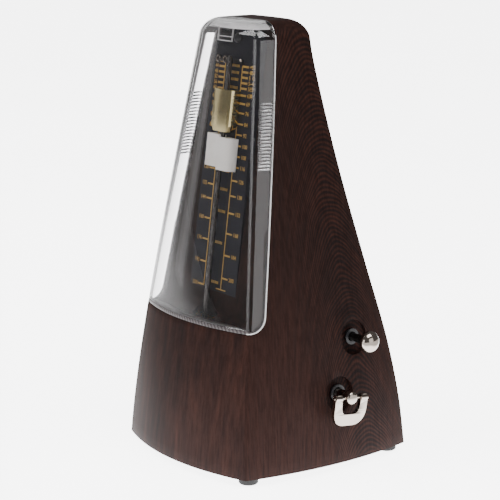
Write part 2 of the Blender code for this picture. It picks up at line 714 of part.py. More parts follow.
def make_winding(bench, body):
    """Arbor, ratchet, and the key's stepped hub with the cross pin that its ring folds on."""
    matrix = shaft_frame(KEY_AXIS)
    radius, end = 0.0015, KEY_HUB_START - GAP
    profile = [(0, end), (radius, end), (radius, -0.0215), (radius, -0.0240), (0, -0.0240)]
    bench.part(turned("winding_arbor", profile, matrix, 18), "steel", body)
    teeth = tooth_outline(20, 0.0068, 0.0080, 0.90, 0.10, 0.0, lean=0.35)
    wheel = plate("ratchet_wheel", [teeth, circle(0.00175, 18)], 0.0015,
                  Matrix.Translation(along_x(KEY_AXIS, RATCHET_X)) @ ACROSS)
    bench.part(wheel, "steel", body)

    neck, head = KEY_END - KEY_HEAD_LENGTH, KEY_HEAD_RADIUS
    profile = [(0, KEY_END), (head - 0.0012, KEY_END), (head, KEY_END - 0.0010), (head, neck),
               (KEY_HUB_RADIUS, neck - 0.0006), (KEY_HUB_RADIUS, KEY_HUB_START), (0, KEY_HUB_START)]
    hub = turned("key_hub", profile, matrix, 24)
    roll = key_roll()
    boolean(hub, bench.cutter(rod("key_pin_hole", KEY_BORE_RADIUS, roll @ Vector((0, -0.006, 0)),
                                  roll @ Vector((0, 0.006, 0)), 12)))
    bench.part(hub, "nickel", body)
    pin = rod("key_pin", KEY_PIN_RADIUS, roll @ Vector((0, -KEY_PIN_HALF, 0)),
              roll @ Vector((0, KEY_PIN_HALF, 0)), 12)
    bench.part(pin, "nickel", body)


def key_roll():
    """The key's pin at rest: local Y along the pin."""
    return Matrix.Translation(along_x(KEY_AXIS, KEY_PIN_X)) @ Matrix.Rotation(KEY_ROLL, 4, "X")


def make_key_ring(bench, body):
    """Folding ring, hanging from the pin: straight arms, round bottom band, chamfered opening."""
    roll = key_roll()
    outer = [(-0.0104, 0.0), (-0.0104, -0.0040), (-0.0101, -0.0075), (-0.0090, -0.0108), (-0.0070, -0.0130),
             (-0.0040, -0.0141), (0.0, -0.0144)]
    outer += [(-u, v) for u, v in outer[-2::-1]]
    opening = [(0.0060, 0.0), (0.0060, -0.0066), (0.0036, -0.0090), (-0.0036, -0.0090), (-0.0060, -0.0066),
               (-0.0060, 0.0)]
    ring = plate("key_ring", [outer + opening], 0.0021, roll @ ACROSS)
    for k, side in enumerate((-1, 1)):
        eye = rod(f"key_eye_{k + 1}", 0.0020, roll @ Vector((0, side * 0.00605, 0)),
                  roll @ Vector((0, side * 0.01035, 0)), 16)
        boolean(ring, bench.cutter(eye), "UNION")
    bore = rod("key_ring_bore", KEY_BORE_RADIUS, roll @ Vector((0, -0.012, 0)),
               roll @ Vector((0, 0.012, 0)), 12)
    boolean(ring, bench.cutter(bore))
    bench.part(ring, "nickel", body)


def make_bushes(bench):
    """Flanged bushes where the two shafts pass through their recesses."""
    for name, axis, bore, hole in (("key_bush", KEY_AXIS, KEY_HUB_RADIUS + GAP, KEY_HOLE_RADIUS),
                                   ("selector_bush", SELECTOR_AXIS, 0.0025, SELECTOR_HOLE_RADIUS)):
        sleeve = hole - GAP + 0.00005
        flange = sleeve + 0.0009
        floor = side_x(axis) - RECESS_DEPTH / side_normal(axis[1]).x
        front, seat, back = floor + 0.0016, floor + 0.0010, floor - 0.0028
        profile = [(flange, front), (flange, seat), (sleeve, seat), (sleeve, back), (bore, back),
                   (bore, front)]
        bench.part(turned(name, profile, shaft_frame(axis), 24, ring=True), "black_plastic")


def make_click(bench, wheel_body, click_body):
    """The pawl that rides on the ratchet, with its stud and spring on the great wheel."""
    stud = rod("click_stud", 0.0009, along_x(CLICK_AT, 0.0139), along_x(CLICK_AT, 0.0182), 12)
    bench.part(stud, "steel", wheel_body)
    place = Matrix.Translation(along_x(CLICK_AT, RATCHET_X)) @ ACROSS
    hook = [(0.0018, 0.0014), (-0.0014, 0.0018), (-0.0052, -0.0038), (-0.0048, -0.0060), (-0.0036, -0.0044),
            (-0.0010, -0.0016), (0.0018, -0.0014)]
    bench.part(plate("click_pawl", [hook, circle(0.0011, 12)], 0.0014, place), "steel", click_body)
    blade = [(-0.0080, 0.0026), (0.0040, 0.0042), (0.0040, 0.0046), (-0.0080, 0.0030)]
    bench.part(plate("click_spring", [blade], 0.0012, place), "spring_steel", wheel_body)


def make_train(bench, second_axis, great, second, escape):
    toward_second = angle_between(KEY_AXIS, second_axis)
    toward_escape = angle_between(second_axis, ESCAPE_AXIS)
    half_tooth = math.pi / PINION_TEETH
    arbor_end = PLATE_X + 0.0014
    wheel = gear("great_wheel", GREAT_TEETH, 0.0016, along_x(KEY_AXIS, WHEEL_X), toward_second, 0.0018)
    bench.part(wheel, "brass", great)

    matrix = shaft_frame(second_axis)
    profile = [(0, arbor_end), (0.0010, arbor_end), (0.0010, -arbor_end), (0, -arbor_end)]
    bench.part(turned("second_arbor", profile, matrix, 14), "steel", second)
    pinion = gear("second_pinion", PINION_TEETH, 0.0050, along_x(second_axis, WHEEL_X),
                  toward_second + math.pi + half_tooth, 0.0013)
    bench.part(pinion, "steel", second)
    wheel = gear("second_wheel", SECOND_TEETH, 0.0014, along_x(second_axis, SECOND_WHEEL_X),
                 toward_escape, 0.0013)
    bench.part(wheel, "brass", second)
    rings = []
    width, step, points = 0.0028, 0.0002, 24
    for k, lobes in enumerate((0, 2, 3, 4, 6)):
        start = -0.0190 + k * (width + step)
        for x in (start, start + width):
            ring = []
            for i in range(points):
                angle = math.tau * i / points
                raised = lobes and (i * lobes) % points < lobes
                radius = CAM_RADIUS if raised else CAM_RADIUS - 0.0010
                ring.append((radius * math.cos(angle), radius * math.sin(angle), x))
            rings.append(ring)
    drum = loft("bell_cam_drum", rings, matrix)
    bore = rod("drum_bore", 0.0013, along_x(second_axis, -0.024), along_x(second_axis, 0.002), 14)
    boolean(drum, bench.cutter(bore))
    bench.part(drum, "brass", second)

    matrix = shaft_frame(ESCAPE_AXIS)
    profile = [(0, arbor_end), (0.0009, arbor_end), (0.0009, -arbor_end), (0, -arbor_end)]
    bench.part(turned("escape_arbor", profile, matrix, 14), "steel", escape)
    pinion = gear("escape_pinion", PINION_TEETH, 0.0032, along_x(ESCAPE_AXIS, SECOND_WHEEL_X),
                  toward_escape + math.pi + half_tooth, 0.0012)
    bench.part(pinion, "steel", escape)
    crown = tooth_outline(15, 0.0056, 0.0074, 0.80, 0.10, 0.0, lean=0.25)
    bench.part(plate("escape_wheel", [crown, circle(0.0012, 14)], 0.0026, matrix), "brass", escape)


def make_bell(bench):
    thick = 0.0010
    depth = 0.0120
    profile = [(0.0022, depth)]
    for i in range(7):
        angle = math.radians(80 - 80 * i / 6)
        profile.append((BELL_RADIUS * math.cos(angle), depth * math.sin(angle) * 0.985))
    for i in range(7):
        angle = math.radians(80 * i / 6)
        profile.append(((BELL_RADIUS - thick) * math.cos(angle), (depth - thick) * math.sin(angle) * 0.985))
    profile.append((0.0022, depth - thick))
    foot = -0.0185
    bell = turned("bell", profile, Matrix.Translation(along_x(BELL_AXIS, foot)) @ ACROSS, 30, ring=True)
    bench.part(bell, "nickel")
    matrix = shaft_frame(BELL_AXIS)
    seat = foot + depth - thick - 0.0004
    profile = [(0, seat + 0.0034), (0.0016, seat + 0.0034), (0.0016, seat), (0.0030, seat),
               (0.0030, -0.0208), (0.0011, -0.0208), (0.0011, -0.0240), (0, -0.0240)]
    bench.part(turned("bell_post", profile, matrix, 16), "steel")
    near = foot + depth + 0.0002
    far = near + 0.0014
    profile = [(0.0032, far), (0.0032, near), (0.0019, near), (0.0019, far)]
    bench.part(turned("bell_nut", profile, matrix, 6, ring=True), "steel")


def make_selector(bench, body):
    matrix = shaft_frame(SELECTOR_AXIS)
    end, slim = KNOB_START - GAP, 0.0015
    profile = [(0, end), (SELECTOR_RADIUS, end), (SELECTOR_RADIUS, 0.0320), (slim, 0.0310), (slim, -0.0180),
               (0, -0.0180)]
    bench.part(turned("selector_rod", profile, matrix, 18), "dark_steel", body)
    dome = ((0, KNOB_THICKNESS), (0.0022, 0.0048), (0.0040, 0.0038), (0.0051, 0.0024), (KNOB_RADIUS, 0.0010),
            (KNOB_RADIUS - 0.0003, 0.0), (0, 0.0))
    profile = [(radius, KNOB_START + rise) for radius, rise in dome]
    bench.part(turned("selector_knob", profile, matrix, 28), "nickel", body)
    for name, middle in (("selector_collar_left", -0.0102), ("selector_collar_right", -0.0018)):
        near, far = middle - 0.0007, middle + 0.0007
        profile = [(0.0028, far), (0.0028, near), (0.0018, near), (0.0018, far)]
        bench.part(turned(name, profile, matrix, 16, ring=True), "brass", body)


def make_hammer(bench, body, second_axis):
    """The arm runs from its hub on the selector rod along the tangent to the bell, so its head
    meets the bell square on. A short follower reaches towards the cam drum."""
    pivot, bell = Vector(SELECTOR_AXIS), Vector(BELL_AXIS)
    clear = BELL_RADIUS + HAMMER_HEAD_RADIUS + 0.0008
    reach = (bell - pivot).length
    swing = angle_between(SELECTOR_AXIS, BELL_AXIS) + math.asin(clear / reach)
    length = math.sqrt(reach ** 2 - clear ** 2)
    arm = Vector((math.cos(swing), math.sin(swing)))
    follow = Vector(second_axis) - pivot
    follow_length = follow.length - CAM_RADIUS - 0.0006
    follow.normalize()
    flat = Matrix.Translation(along_x(SELECTOR_AXIS, -0.0060)) @ ACROSS
    hub = plate("hammer_arm", [circle(0.0034, 20), circle(0.0018, 16)], 0.0060, flat)
    start, half, thick = 0.0022, 0.0009, 0.0016
    stem = bar_along(arm, start, length - HAMMER_HEAD_RADIUS - 0.0002, half, half)
    boolean(hub, bench.cutter(plate("hammer_stem", [stem], thick, flat)), "UNION")
    finger = bar_along(follow, start, follow_length, half, 0.0006)
    boolean(hub, bench.cutter(plate("hammer_follower", [finger], thick, flat)), "UNION")
    bench.part(hub, "spring_steel", body)
    tip = pivot + arm * length
    head = rod("hammer_head", HAMMER_HEAD_RADIUS, along_x(tip, -0.0090), along_x(tip, -0.0030), 16)
    bench.part(head, "brass", body)


# ---------------------------------------------------------------- assembly

def centre_on_origin(bench):
    """Move the root so that the bounding box stands centred over the origin."""
    bpy.context.view_layer.update()
    graph = bpy.context.evaluated_depsgraph_get()
    low = Vector((math.inf,) * 3)
    high = -low
    for obj in bench.parts.objects:
        if obj.type != "MESH":
            continue
        seen = obj.evaluated_get(graph)
        for vertex in seen.data.vertices:
            point = seen.matrix_world @ vertex.co
            low = Vector(map(min, low, point))
            high = Vector(map(max, high, point))
    middle = (low + high) / 2
    bench.root.location = (-middle.x, -middle.y, -low.z)


def build():
    clear_scene()
    bench = Bench()
    second_axis = meet(KEY_AXIS, MODULE * (GREAT_TEETH + PINION_TEETH) / 2,
                       ESCAPE_AXIS, MODULE * (SECOND_TEETH + PINION_TEETH) / 2)
    cover = bench.body("cover_body", (0, RIM_Y, RIM_Z))
    pendulum = bench.body("pendulum_body", PIVOT)
    weight = bench.body("weight_body", PENDULUM @ Vector((0, WEIGHT_AT, 0)))
    foam = bench.body("foam_body", PENDULUM @ Vector((0, FOAM_AT, 0)))
    winding = bench.body("winding_body", along_x(KEY_AXIS, 0))
    ring = bench.body("key_ring_body", along_x(KEY_AXIS, KEY_PIN_X))
    selector = bench.body("selector_body", along_x(SELECTOR_AXIS, 0))
    hammer = bench.body("hammer_body", along_x(SELECTOR_AXIS, 0))
    great = bench.body("great_wheel_body", along_x(KEY_AXIS, 0))
    second = bench.body("second_arbor_body", along_x(second_axis, 0))
    escape = bench.body("escape_arbor_body", along_x(ESCAPE_AXIS, 0))
    click = bench.body("click_body", along_x(CLICK_AT, RATCHET_X))

    make_case(bench)
    make_base(bench)
    make_dial(bench)
    make_catch(bench)
    make_clip(bench)
    make_cover(bench, cover)
    make_pendulum(bench, pendulum)
    make_weight(bench, weight, foam)
    make_brackets(bench)
    make_frame_plates(bench, second_axis)
    make_pillars(bench)
    make_mainspring(bench)
    make_winding(bench, winding)
    make_key_ring(bench, ring)
    make_bushes(bench)
    make_train(bench, second_axis, great, second, escape)
    make_click(bench, great, click)
    make_bell(bench)
    make_selector(bench, selector)
    make_hammer(bench, hammer, second_axis)
    centre_on_origin(bench)


build()
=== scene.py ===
"""Looks of a mechanical metronome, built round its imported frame.

Shapes are laid out in the case's own frame (upright axis at x = 0, y = 0) and moved by ORIGIN
into the row frame. The front faces -Y; key and selector are on the +X side. Lengths are metres.
"""

import json
import math

import bmesh
import bpy
from mathutils import Matrix, Vector


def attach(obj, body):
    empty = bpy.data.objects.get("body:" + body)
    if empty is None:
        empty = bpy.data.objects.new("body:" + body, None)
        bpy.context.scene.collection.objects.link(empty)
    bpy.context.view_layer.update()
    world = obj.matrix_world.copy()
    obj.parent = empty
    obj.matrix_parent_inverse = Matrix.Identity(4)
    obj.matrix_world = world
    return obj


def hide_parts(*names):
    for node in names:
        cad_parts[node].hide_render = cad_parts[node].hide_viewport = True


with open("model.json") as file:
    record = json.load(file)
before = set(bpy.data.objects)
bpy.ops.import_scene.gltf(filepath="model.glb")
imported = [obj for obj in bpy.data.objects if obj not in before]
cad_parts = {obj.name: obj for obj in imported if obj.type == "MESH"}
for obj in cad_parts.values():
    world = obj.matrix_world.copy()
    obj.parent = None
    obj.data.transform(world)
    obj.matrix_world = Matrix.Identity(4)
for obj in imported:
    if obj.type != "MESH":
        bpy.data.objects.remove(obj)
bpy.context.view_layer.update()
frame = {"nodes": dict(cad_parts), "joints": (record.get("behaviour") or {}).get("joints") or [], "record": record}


def joint_place(name):
    """Where a joint stands at rest, in the row frame."""
    return Vector(next(j["pos_m"] for j in frame["joints"] if j["name"] == name))


KEY_AXIS = (0.0050, 0.0385)             # (y, z) of the winding arbor in the case's frame
SELECTOR_AXIS = (0.0172, 0.0645)
ORIGIN = joint_place("key_turn") - Vector((0.0, *KEY_AXIS))
PIVOT = joint_place("pendulum_swing") - ORIGIN
PLACE = Matrix.Translation(ORIGIN)
ACROSS = Matrix(((0, 0, 1, 0), (1, 0, 0, 0), (0, 1, 0, 0), (0, 0, 0, 1)))   # (u, v, w) to (y, z, x)
UPRIGHT = Matrix.Rotation(math.pi / 2, 4, "X")                              # (u, v, w) to (x, z, -y)
SHARP_ANGLE = math.radians(32)          # edges sharper than this are shaded as creases

# Case: half its width is BASE_HALF - SIDE_LEAN * z, plus up to FLARE from FLARE_HEIGHT upwards
HEIGHT = 0.220
FOOT_HEIGHT = 0.004
BASE_HALF = 0.0508
SIDE_LEAN = 0.148
FLARE = 0.0049
FLARE_HEIGHT = 0.050
FRONT_BULGE = 0.096                     # rise of a wall's middle, as a share of the case's width
SIDE_BULGE = 0.060
SIDE_BULGE_FADE = 0.65
REAR_BULGE = 0.030
DOME_START = 0.2105
DOME_INSET_X = 0.43
DOME_INSET_Y = 0.42
REAR_STATIONS = ((0.004, 0.0507), (0.030, 0.0481), (0.060, 0.0424), (0.100, 0.0316),
                 (0.150, 0.0191), (0.200, 0.0094), (0.220, 0.0078))     # (z, y) up the rear wall
CASE_RADIUS = 0.0016                    # rounding of the upright edges
CORNER_REACH = 0.39                     # handle length of that rounding, as a share of its chord
WALL = 0.0022
RECESS_RADIUS = 0.0087                  # the round recesses of the key and the selector
RECESS_DEPTH = 0.0030
RECESS_WALL = 0.0016
RECESS_CUP = 0.0062                     # depth of a recess's own wall, from the case's surface
KEY_HOLE = 0.0037
SELECTOR_HOLE = 0.0034
SLOT_HALF = 0.009                       # half the width of the rod's slot in the ledge

# Cover
COVER_WALL = 0.0017
COVER_RADII = (0.0022, 0.0030)          # rounding of its upright edges, at its ledge and at its top
GAP = 0.0003
LEDGE_Z = 0.0736
RIM_Y = -0.0337
RIM_Z = 0.0828
RIM_LEAN = math.atan(0.157)
RIM_RADIUS = 0.009
FLANGE_TOP = LEDGE_Z + 0.0021
FLANGE_DEPTH = 0.0036                   # how far the flange stands into the cover

# Pendulum frame: x right, y up along the rod from the pivot, z towards the front
ROD_LEAN = math.atan(0.1256)
ROD_WIDTH = 0.0031
ROD_FOOT_WIDTH = 0.0041
ROD_FOOT_TOP = 0.0036
ROD_THICKNESS = 0.0010
ROD_TOP = 0.1361
ROD_BOTTOM = -0.056
ROD_EYE = 0.00145                       # radius of the hole on the arbor
WEIGHT_LOW, WEIGHT_HIGH = 0.0989, 0.1195
WEIGHT_WIDTH, WEIGHT_DEPTH = 0.0158, 0.0052
FOAM_MIDDLE = 0.0882
FOAM_HEIGHT = 0.0160
FOAM_BACK = -0.0027
DIAL_FACE = -0.0031
CATCH_HEIGHT = 0.1452
CLIP_HEIGHT = 0.1338
PENDULUM = PLACE @ Matrix.Translation(PIVOT) @ Matrix.Rotation(math.pi / 2 - ROD_LEAN, 4, "X")

# Dial: marks from the slowest tempo at the top down to the fastest
INK_THICKNESS = 0.00005
SLOW, SLOW_HEIGHT = 44, 0.1302          # a tempo and its mark's height along the rod
FASTEST = 208
BEAT_PITCH = 0.000665                   # fall in height for each beat a minute
SPREAD_FROM, SPREAD = 132, 0.0016       # the fastest marks stand a little wider apart
SPINE_HALF = 0.00032
TICK, FINE_TICK, FINE_FROM = 0.00105, 0.00085, 76
BLOCK_START, BLOCK_PITCH, BLOCK_WIDTH, BLOCK_HALF = -0.0016, 0.00105, 0.0006, 0.0007
FIGURE_SIZE = 0.0028
FIGURE_GAP = 0.0008                     # from a tick's tip to its figures
DIAL_COLUMNS = {                        # x of the spine, x of the ticks' tips, tempos
    "left": (-0.0076, -0.0126, (*range(40, 60, 4), *range(60, 72, 6), *range(72, 120, 8),
                                *range(120, 144, 12), *range(144, 209, 16))),
    "right": (0.0068, 0.0118, (*range(42, 60, 4), 63, 69, *range(76, 120, 8), *range(126, 144, 12),
                               *range(152, 201, 16))),
}
DIAL_BLOCKS = (42, 47, 52, 58, 66, 76, 90, 108, 120, 134, 152, 176, 204)    # rows of six blocks

# Key and selector, along X from the case's middle
PIN_X = 0.0617
RING_TURN = math.radians(-6.3)
KNOB_START = 0.0596
KNOB_LENGTH = 0.0050
KNOB_RADIUS = 0.00545
KNOB_EDGE = 0.0012                      # length of the knob's straight part

# Wood figure on the sides: arches z = level - ARCH_CURVE * (y - y of their middle) ** 2
ARCH_CURVE = 58.0
ARCH_LEAN = 0.10                        # how fast the middle moves forward with height
ARCH_FOOT = 0.0227                      # its y at the bottom

# Camera and light
VIEW_AZIMUTH = math.radians(53.5)
VIEW_ELEVATION = math.radians(12.23)
CAMERA_PLACE = Vector((0.7157, -0.5401, 0.2966))
CAMERA_LENS = 130.45
LIGHT_TARGET = Vector((0, 0, 0.10))
ROOM_COLOR = (1.0, 0.98, 0.97, 1.0)
ROOM_LIGHT = 0.17
LIGHTS = (                              # name, place, size, radiance, seen in glossy reflections
    ("key_light", (-0.30, -0.95, 1.30), (0.8, 0.8), 11.0, False),
    ("top_light", (0.75, 0.10, 1.30), (1.0, 0.8), 7.0, True),
    ("rim_light", (-1.10, 0.50, 0.90), (0.8, 0.7), 0.5, True),
    ("side_card", (1.35, 0.30, 0.34), (0.9, 0.7), 1.75, True),
    ("strip_light", (0.35, -1.25, 0.30), (0.60, 0.7), 2.6, True),
    ("left_card", (-1.20, -0.66, 0.24), (0.22, 0.5), 0.65, True),
)
FLOOR_SIZE = 6.0
FLOOR_GLOW = 6.0
STRIP_SPREAD = 0.14                     # how fast the floor's bright strip widens behind the object
STRIP_EDGE = (0.125, 0.21)              # where it fades to its sides, from its middle line
STRIP_START = (-0.20, -0.08)            # where it fades in, along that line
POOL_EDGE = (0.80, 1.60)                # where the faint glow round the object fades out
POOL_SHARE = 0.06                       # that glow, beside the strip's
DARK_SHARE = 0.02                       # the same for the floor beyond both


# -------- camera, light and floor

def make_camera():
    """The viewpoint: ahead and to the right of the case, a little above its middle."""
    back = Vector((math.sin(VIEW_AZIMUTH) * math.cos(VIEW_ELEVATION),
                   -math.cos(VIEW_AZIMUTH) * math.cos(VIEW_ELEVATION), math.sin(VIEW_ELEVATION)))
    data = bpy.data.cameras.new("camera")
    data.sensor_width = 36.0
    data.lens = CAMERA_LENS
    camera = bpy.data.objects.new("camera", data)
    camera.location = ORIGIN + CAMERA_PLACE
    camera.rotation_euler = (-back).to_track_quat("-Z", "Y").to_euler()
    bpy.context.scene.collection.objects.link(camera)
    bpy.context.scene.camera = camera


def make_light(name, place, size, radiance, glare):
    """A rectangular soft light of a given brightness that is not itself in the picture."""
    data = bpy.data.lights.new(name, "AREA")
    data.shape = "RECTANGLE"
    data.size, data.size_y = size
    data.energy = radiance * math.pi * size[0] * size[1]
    light = bpy.data.objects.new(name, data)
    light.location = place
    light.rotation_euler = (LIGHT_TARGET - Vector(place)).to_track_quat("-Z", "Y").to_euler()
    light.visible_camera = False
    light.visible_glossy = glare
    bpy.context.scene.collection.objects.link(light)


def make_studio():
    """A dim even room with soft lights, over a floor that glows in a strip behind the object."""
    world = bpy.data.worlds.new("studio")
    bpy.context.scene.world = world
    world.use_nodes = True
    background = world.node_tree.nodes["Background"]
    background.inputs["Color"].default_value = ROOM_COLOR
    background.inputs["Strength"].default_value = ROOM_LIGHT
    for light in LIGHTS:
        make_light(*light)

    bm = bmesh.new()
    bmesh.ops.create_grid(bm, x_segments=1, y_segments=1, size=FLOOR_SIZE)
    floor = new_object("floor", bm, floor_material())


# -------- node helpers

class Shader:
    """A Principled material and short calls that add nodes to it."""

    def __init__(self, name):
        self.material = bpy.data.materials.new(name)
        self.material.use_nodes = True
        self.tree = self.material.node_tree
        self.principled = self.tree.nodes["Principled BSDF"]
        source = self.tree.nodes.new("ShaderNodeTexCoord")
        self.coords = source.outputs["Object"]
        self.normal = source.outputs["Normal"]

    def put(self, **values):
        """Constants on the shader's own sockets, such as specular_ior_level=0.5."""
        for name, value in values.items():
            socket = name.replace("_", " ").title().replace("Ior", "IOR")
            self.principled.inputs[socket].default_value = value
        return self

    def fill(self, socket, value):
        """A link or a constant on a socket."""
        if isinstance(value, bpy.types.NodeSocket):
            self.tree.links.new(value, socket)
        else:
            socket.default_value = value

    def node(self, kind, inputs=None, **settings):
        """A new node with its inputs, by name or index, and its settings."""
        made = self.tree.nodes.new(kind)
        for name, value in settings.items():
            setattr(made, name, value)
        for name, value in (inputs or {}).items():
            self.fill(made.inputs[name], value)
        return made

    def link(self, output, name):
        self.tree.links.new(output, self.principled.inputs[name])

    def stretched(self, scale, rotation=(0, 0, 0)):
        made = self.node("ShaderNodeMapping", {"Vector": self.coords, "Scale": scale, "Rotation": rotation})
        return made.outputs["Vector"]

    def split(self, vector):
        return self.node("ShaderNodeSeparateXYZ", {"Vector": vector}).outputs

    def noise(self, vector, scale, detail=3.0, roughness=0.55):
        made = self.node("ShaderNodeTexNoise", {"Vector": vector, "Scale": scale, "Detail": detail,
                                                "Roughness": roughness})
        return made.outputs["Fac"]

    def cells(self, scale):
        made = self.node("ShaderNodeTexVoronoi", {"Vector": self.coords, "Scale": scale})
        return made.outputs["Distance"]

    def ramp(self, value, stops):
        """A colour ramp through (place, colour or grey) stops."""
        made = self.node("ShaderNodeValToRGB", {"Fac": value})
        elements = made.color_ramp.elements
        while len(elements) < len(stops):
            elements.new(0.5)
        for element, (place, color) in zip(elements, stops):
            element.position = place
            element.color = (*(color if isinstance(color, tuple) else (color,) * 3), 1.0)
        return made.outputs["Color"]

    def math(self, operation, first, second=0.0):
        made = self.node("ShaderNodeMath", {0: first, 1: second}, operation=operation)
        return made.outputs[0]

    def multiply(self, factor, first, second):
        """Two colours multiplied together, by a share of factor."""
        made = self.node("ShaderNodeMix", data_type="RGBA", blend_type="MULTIPLY")
        for index, value in ((0, factor), (6, first), (7, second)):
            self.fill(made.inputs[index], value)
        return made.outputs[2]

    def span(self, value, low, high):
        """A value from 0 to 1 spread over low to high."""
        made = self.node("ShaderNodeMapRange", {"Value": value, "To Min": low, "To Max": high})
        return made.outputs["Result"]

    def fade(self, value, start, end, low, high):
        """low before start, high after end, and a smooth change between."""
        made = self.node("ShaderNodeMapRange", {"Value": value, "From Min": start, "From Max": end,
                                                "To Min": low, "To Max": high},
                         interpolation_type="SMOOTHSTEP")
        return made.outputs["Result"]

    def bump(self, height, strength, distance):
        made = self.node("ShaderNodeBump", {"Height": height, "Strength": strength, "Distance": distance})
        self.link(made.outputs["Normal"], "Normal")


# -------- materials

def floor_material():
    """Pale matt floor: a faint glow round the object and a bright strip running back behind it."""
    shader = Shader("floor_matt").put(roughness=0.9, emission_strength=FLOOR_GLOW)
    tone = shader.noise(shader.coords, 3.0)
    pale = shader.ramp(tone, [(0.3, (0.93, 0.93, 0.935)), (0.7, (0.95, 0.95, 0.955))])
    shader.link(pale, "Base Color")
    turned = shader.split(shader.stretched((1, 1, 1), (0, 0, -VIEW_AZIMUTH)))
    back = turned["Y"]
    aside = shader.math("SUBTRACT", shader.math("ABSOLUTE", turned["X"]),
                        shader.math("MULTIPLY", back, STRIP_SPREAD))
    strip = shader.math("MULTIPLY", shader.fade(aside, *STRIP_EDGE, 1.0, DARK_SHARE),
                        shader.fade(back, *STRIP_START, DARK_SHARE, 1.0))
    away = shader.node("ShaderNodeVectorMath", {0: shader.coords}, operation="LENGTH").outputs["Value"]
    pool = shader.fade(away, *POOL_EDGE, POOL_SHARE, DARK_SHARE)
    shader.link(shader.multiply(1.0, pale, shader.math("MAXIMUM", strip, pool)), "Emission Color")
    return shader.material


def wood_material():
    """Satin film with a rosewood figure: nested arches up the sides, long streaks on front and rear."""
    shader = Shader("rosewood_film").put(ior=1.46, specular_ior_level=0.035)
    place = shader.split(shader.coords)
    facing = shader.split(shader.normal)["X"]
    wander = shader.noise(shader.stretched((1, 1, 0.5)), 26.0, 2.0)
    middle = shader.math("ADD", shader.math("MULTIPLY", place["Z"], -ARCH_LEAN), ORIGIN.y + ARCH_FOOT)
    off = shader.math("SUBTRACT", place["Y"], middle)
    arch = shader.math("MULTIPLY", shader.math("MULTIPLY", off, off), ARCH_CURVE)
    arch = shader.math("ADD", shader.math("ADD", arch, place["Z"]), shader.math("MULTIPLY", wander, 0.022))
    flattened = shader.math("MULTIPLY", place["Y"], 0.35)
    across = shader.node("ShaderNodeCombineXYZ", {"X": place["X"], "Y": flattened, "Z": arch})
    across = across.outputs["Vector"]
    wave = shader.node("ShaderNodeTexWave", {"Vector": across, "Scale": 128.0, "Distortion": 3.4,
                                             "Detail": 3.0, "Detail Scale": 0.7, "Detail Roughness": 0.62},
                       wave_type="BANDS", bands_direction="Z", wave_profile="SIN").outputs["Fac"]
    fleck = shader.noise(across, 260.0, 2.0, 0.5)
    streak = shader.noise(shader.stretched((110, 110, 5.0)), 2.2, 4.0, 0.6)
    broad = shader.noise(shader.stretched((10, 10, 3.0)), 1.6, 2.0, 0.5)
    clouded = shader.math("MULTIPLY", broad, 0.34)
    straight = shader.math("ADD", shader.math("MULTIPLY", streak, 0.66), clouded)
    arched = shader.math("ADD", shader.math("MULTIPLY", wave, 0.26), shader.math("MULTIPLY", fleck, 0.40))
    arched = shader.math("ADD", arched, clouded)
    side = shader.node("ShaderNodeMapRange", {"Value": shader.math("ABSOLUTE", facing), "From Min": 0.60,
                                              "From Max": 0.86}).outputs["Result"]
    change = shader.math("MULTIPLY", side, shader.math("SUBTRACT", arched, straight))
    figure = shader.math("ADD", straight, change)
    color = shader.ramp(figure, [(0.36, (0.0115, 0.0076, 0.0073)), (0.47, (0.0175, 0.0090, 0.0079)),
                                 (0.57, (0.0240, 0.0114, 0.0094)), (0.70, (0.0340, 0.0144, 0.0112))])
    fibre = shader.noise(shader.stretched((420, 420, 9.0)), 2.0, 3.0, 0.7)
    pores = shader.ramp(fibre, [(0.40, 0.60), (0.56, 1.0)])
    shader.link(shader.multiply(0.7, color, pores), "Base Color")
    shader.link(shader.span(fibre, 0.44, 0.56), "Roughness")
    shader.bump(fibre, 0.08, 0.0002)
    return shader.material


def clear_material():
    """Clear moulded styrene, very slightly smoky, with faint flow marks."""
    shader = Shader("clear_styrene").put(ior=1.49, roughness=0.0, transmission_weight=1.0)
    marks = shader.noise(shader.stretched((40, 40, 8)), 2.0, 2.0)
    shader.link(shader.ramp(marks, [(0.3, (0.955, 0.945, 0.955)), (0.7, (0.985, 0.98, 0.985))]), "Base Color")
    shader.bump(marks, 0.012, 0.0003)
    return shader.material


def frosted_material():
    """Whitish styrene: the cover's finely pitted patch under its top, and painted highlight on the rim strip and
    the latch's frame.
    """
    shader = Shader("frost_and_highlight_styrene").put(ior=1.49, roughness=0.35, transmission_weight=0.25)
    pits = shader.cells(900.0)
    shader.link(shader.ramp(pits, [(0.1, (0.62, 0.60, 0.61)), (0.4, (0.95, 0.93, 0.93))]), "Base Color")
    shader.bump(pits, 0.5, 0.0004)
    return shader.material


def hatched_material():
    """The cover's flange: smoky styrene with slanting moulded hatching."""
    shader = Shader("hatched_styrene").put(ior=1.49, roughness=0.28, transmission_weight=0.35)
    slanted = shader.stretched((1, 0.4, 1), (0, math.radians(35), 0))
    hatch = shader.node("ShaderNodeTexWave", {"Vector": slanted, "Scale": 175.0, "Distortion": 0.3})
    hatch = hatch.outputs["Fac"]
    color = shader.ramp(hatch, [(0.25, (0.035, 0.028, 0.029)), (0.75, (0.13, 0.110, 0.112))])
    shader.link(color, "Base Color")
    shader.bump(hatch, 0.4, 0.0003)
    return shader.material


def metal_material(name, color, roughness, spread=0.06, brush=(30, 30, 600), bump=0.02):
    """A metal with fine brushing along one axis and slight tone changes."""
    shader = Shader(name).put(metallic=1.0)
    grain = shader.noise(shader.stretched(brush), 2.0, 3.0, 0.6)
    cloud = shader.noise(shader.coords, 90.0, 3.0)
    tones = [(place, tuple(c * share for c in color)) for place, share in ((0.3, 0.92), (0.7, 1.08))]
    shader.link(shader.ramp(cloud, tones), "Base Color")
    shader.link(shader.span(grain, roughness, roughness + spread), "Roughness")
    shader.bump(grain, bump, 0.0002)
    return shader.material


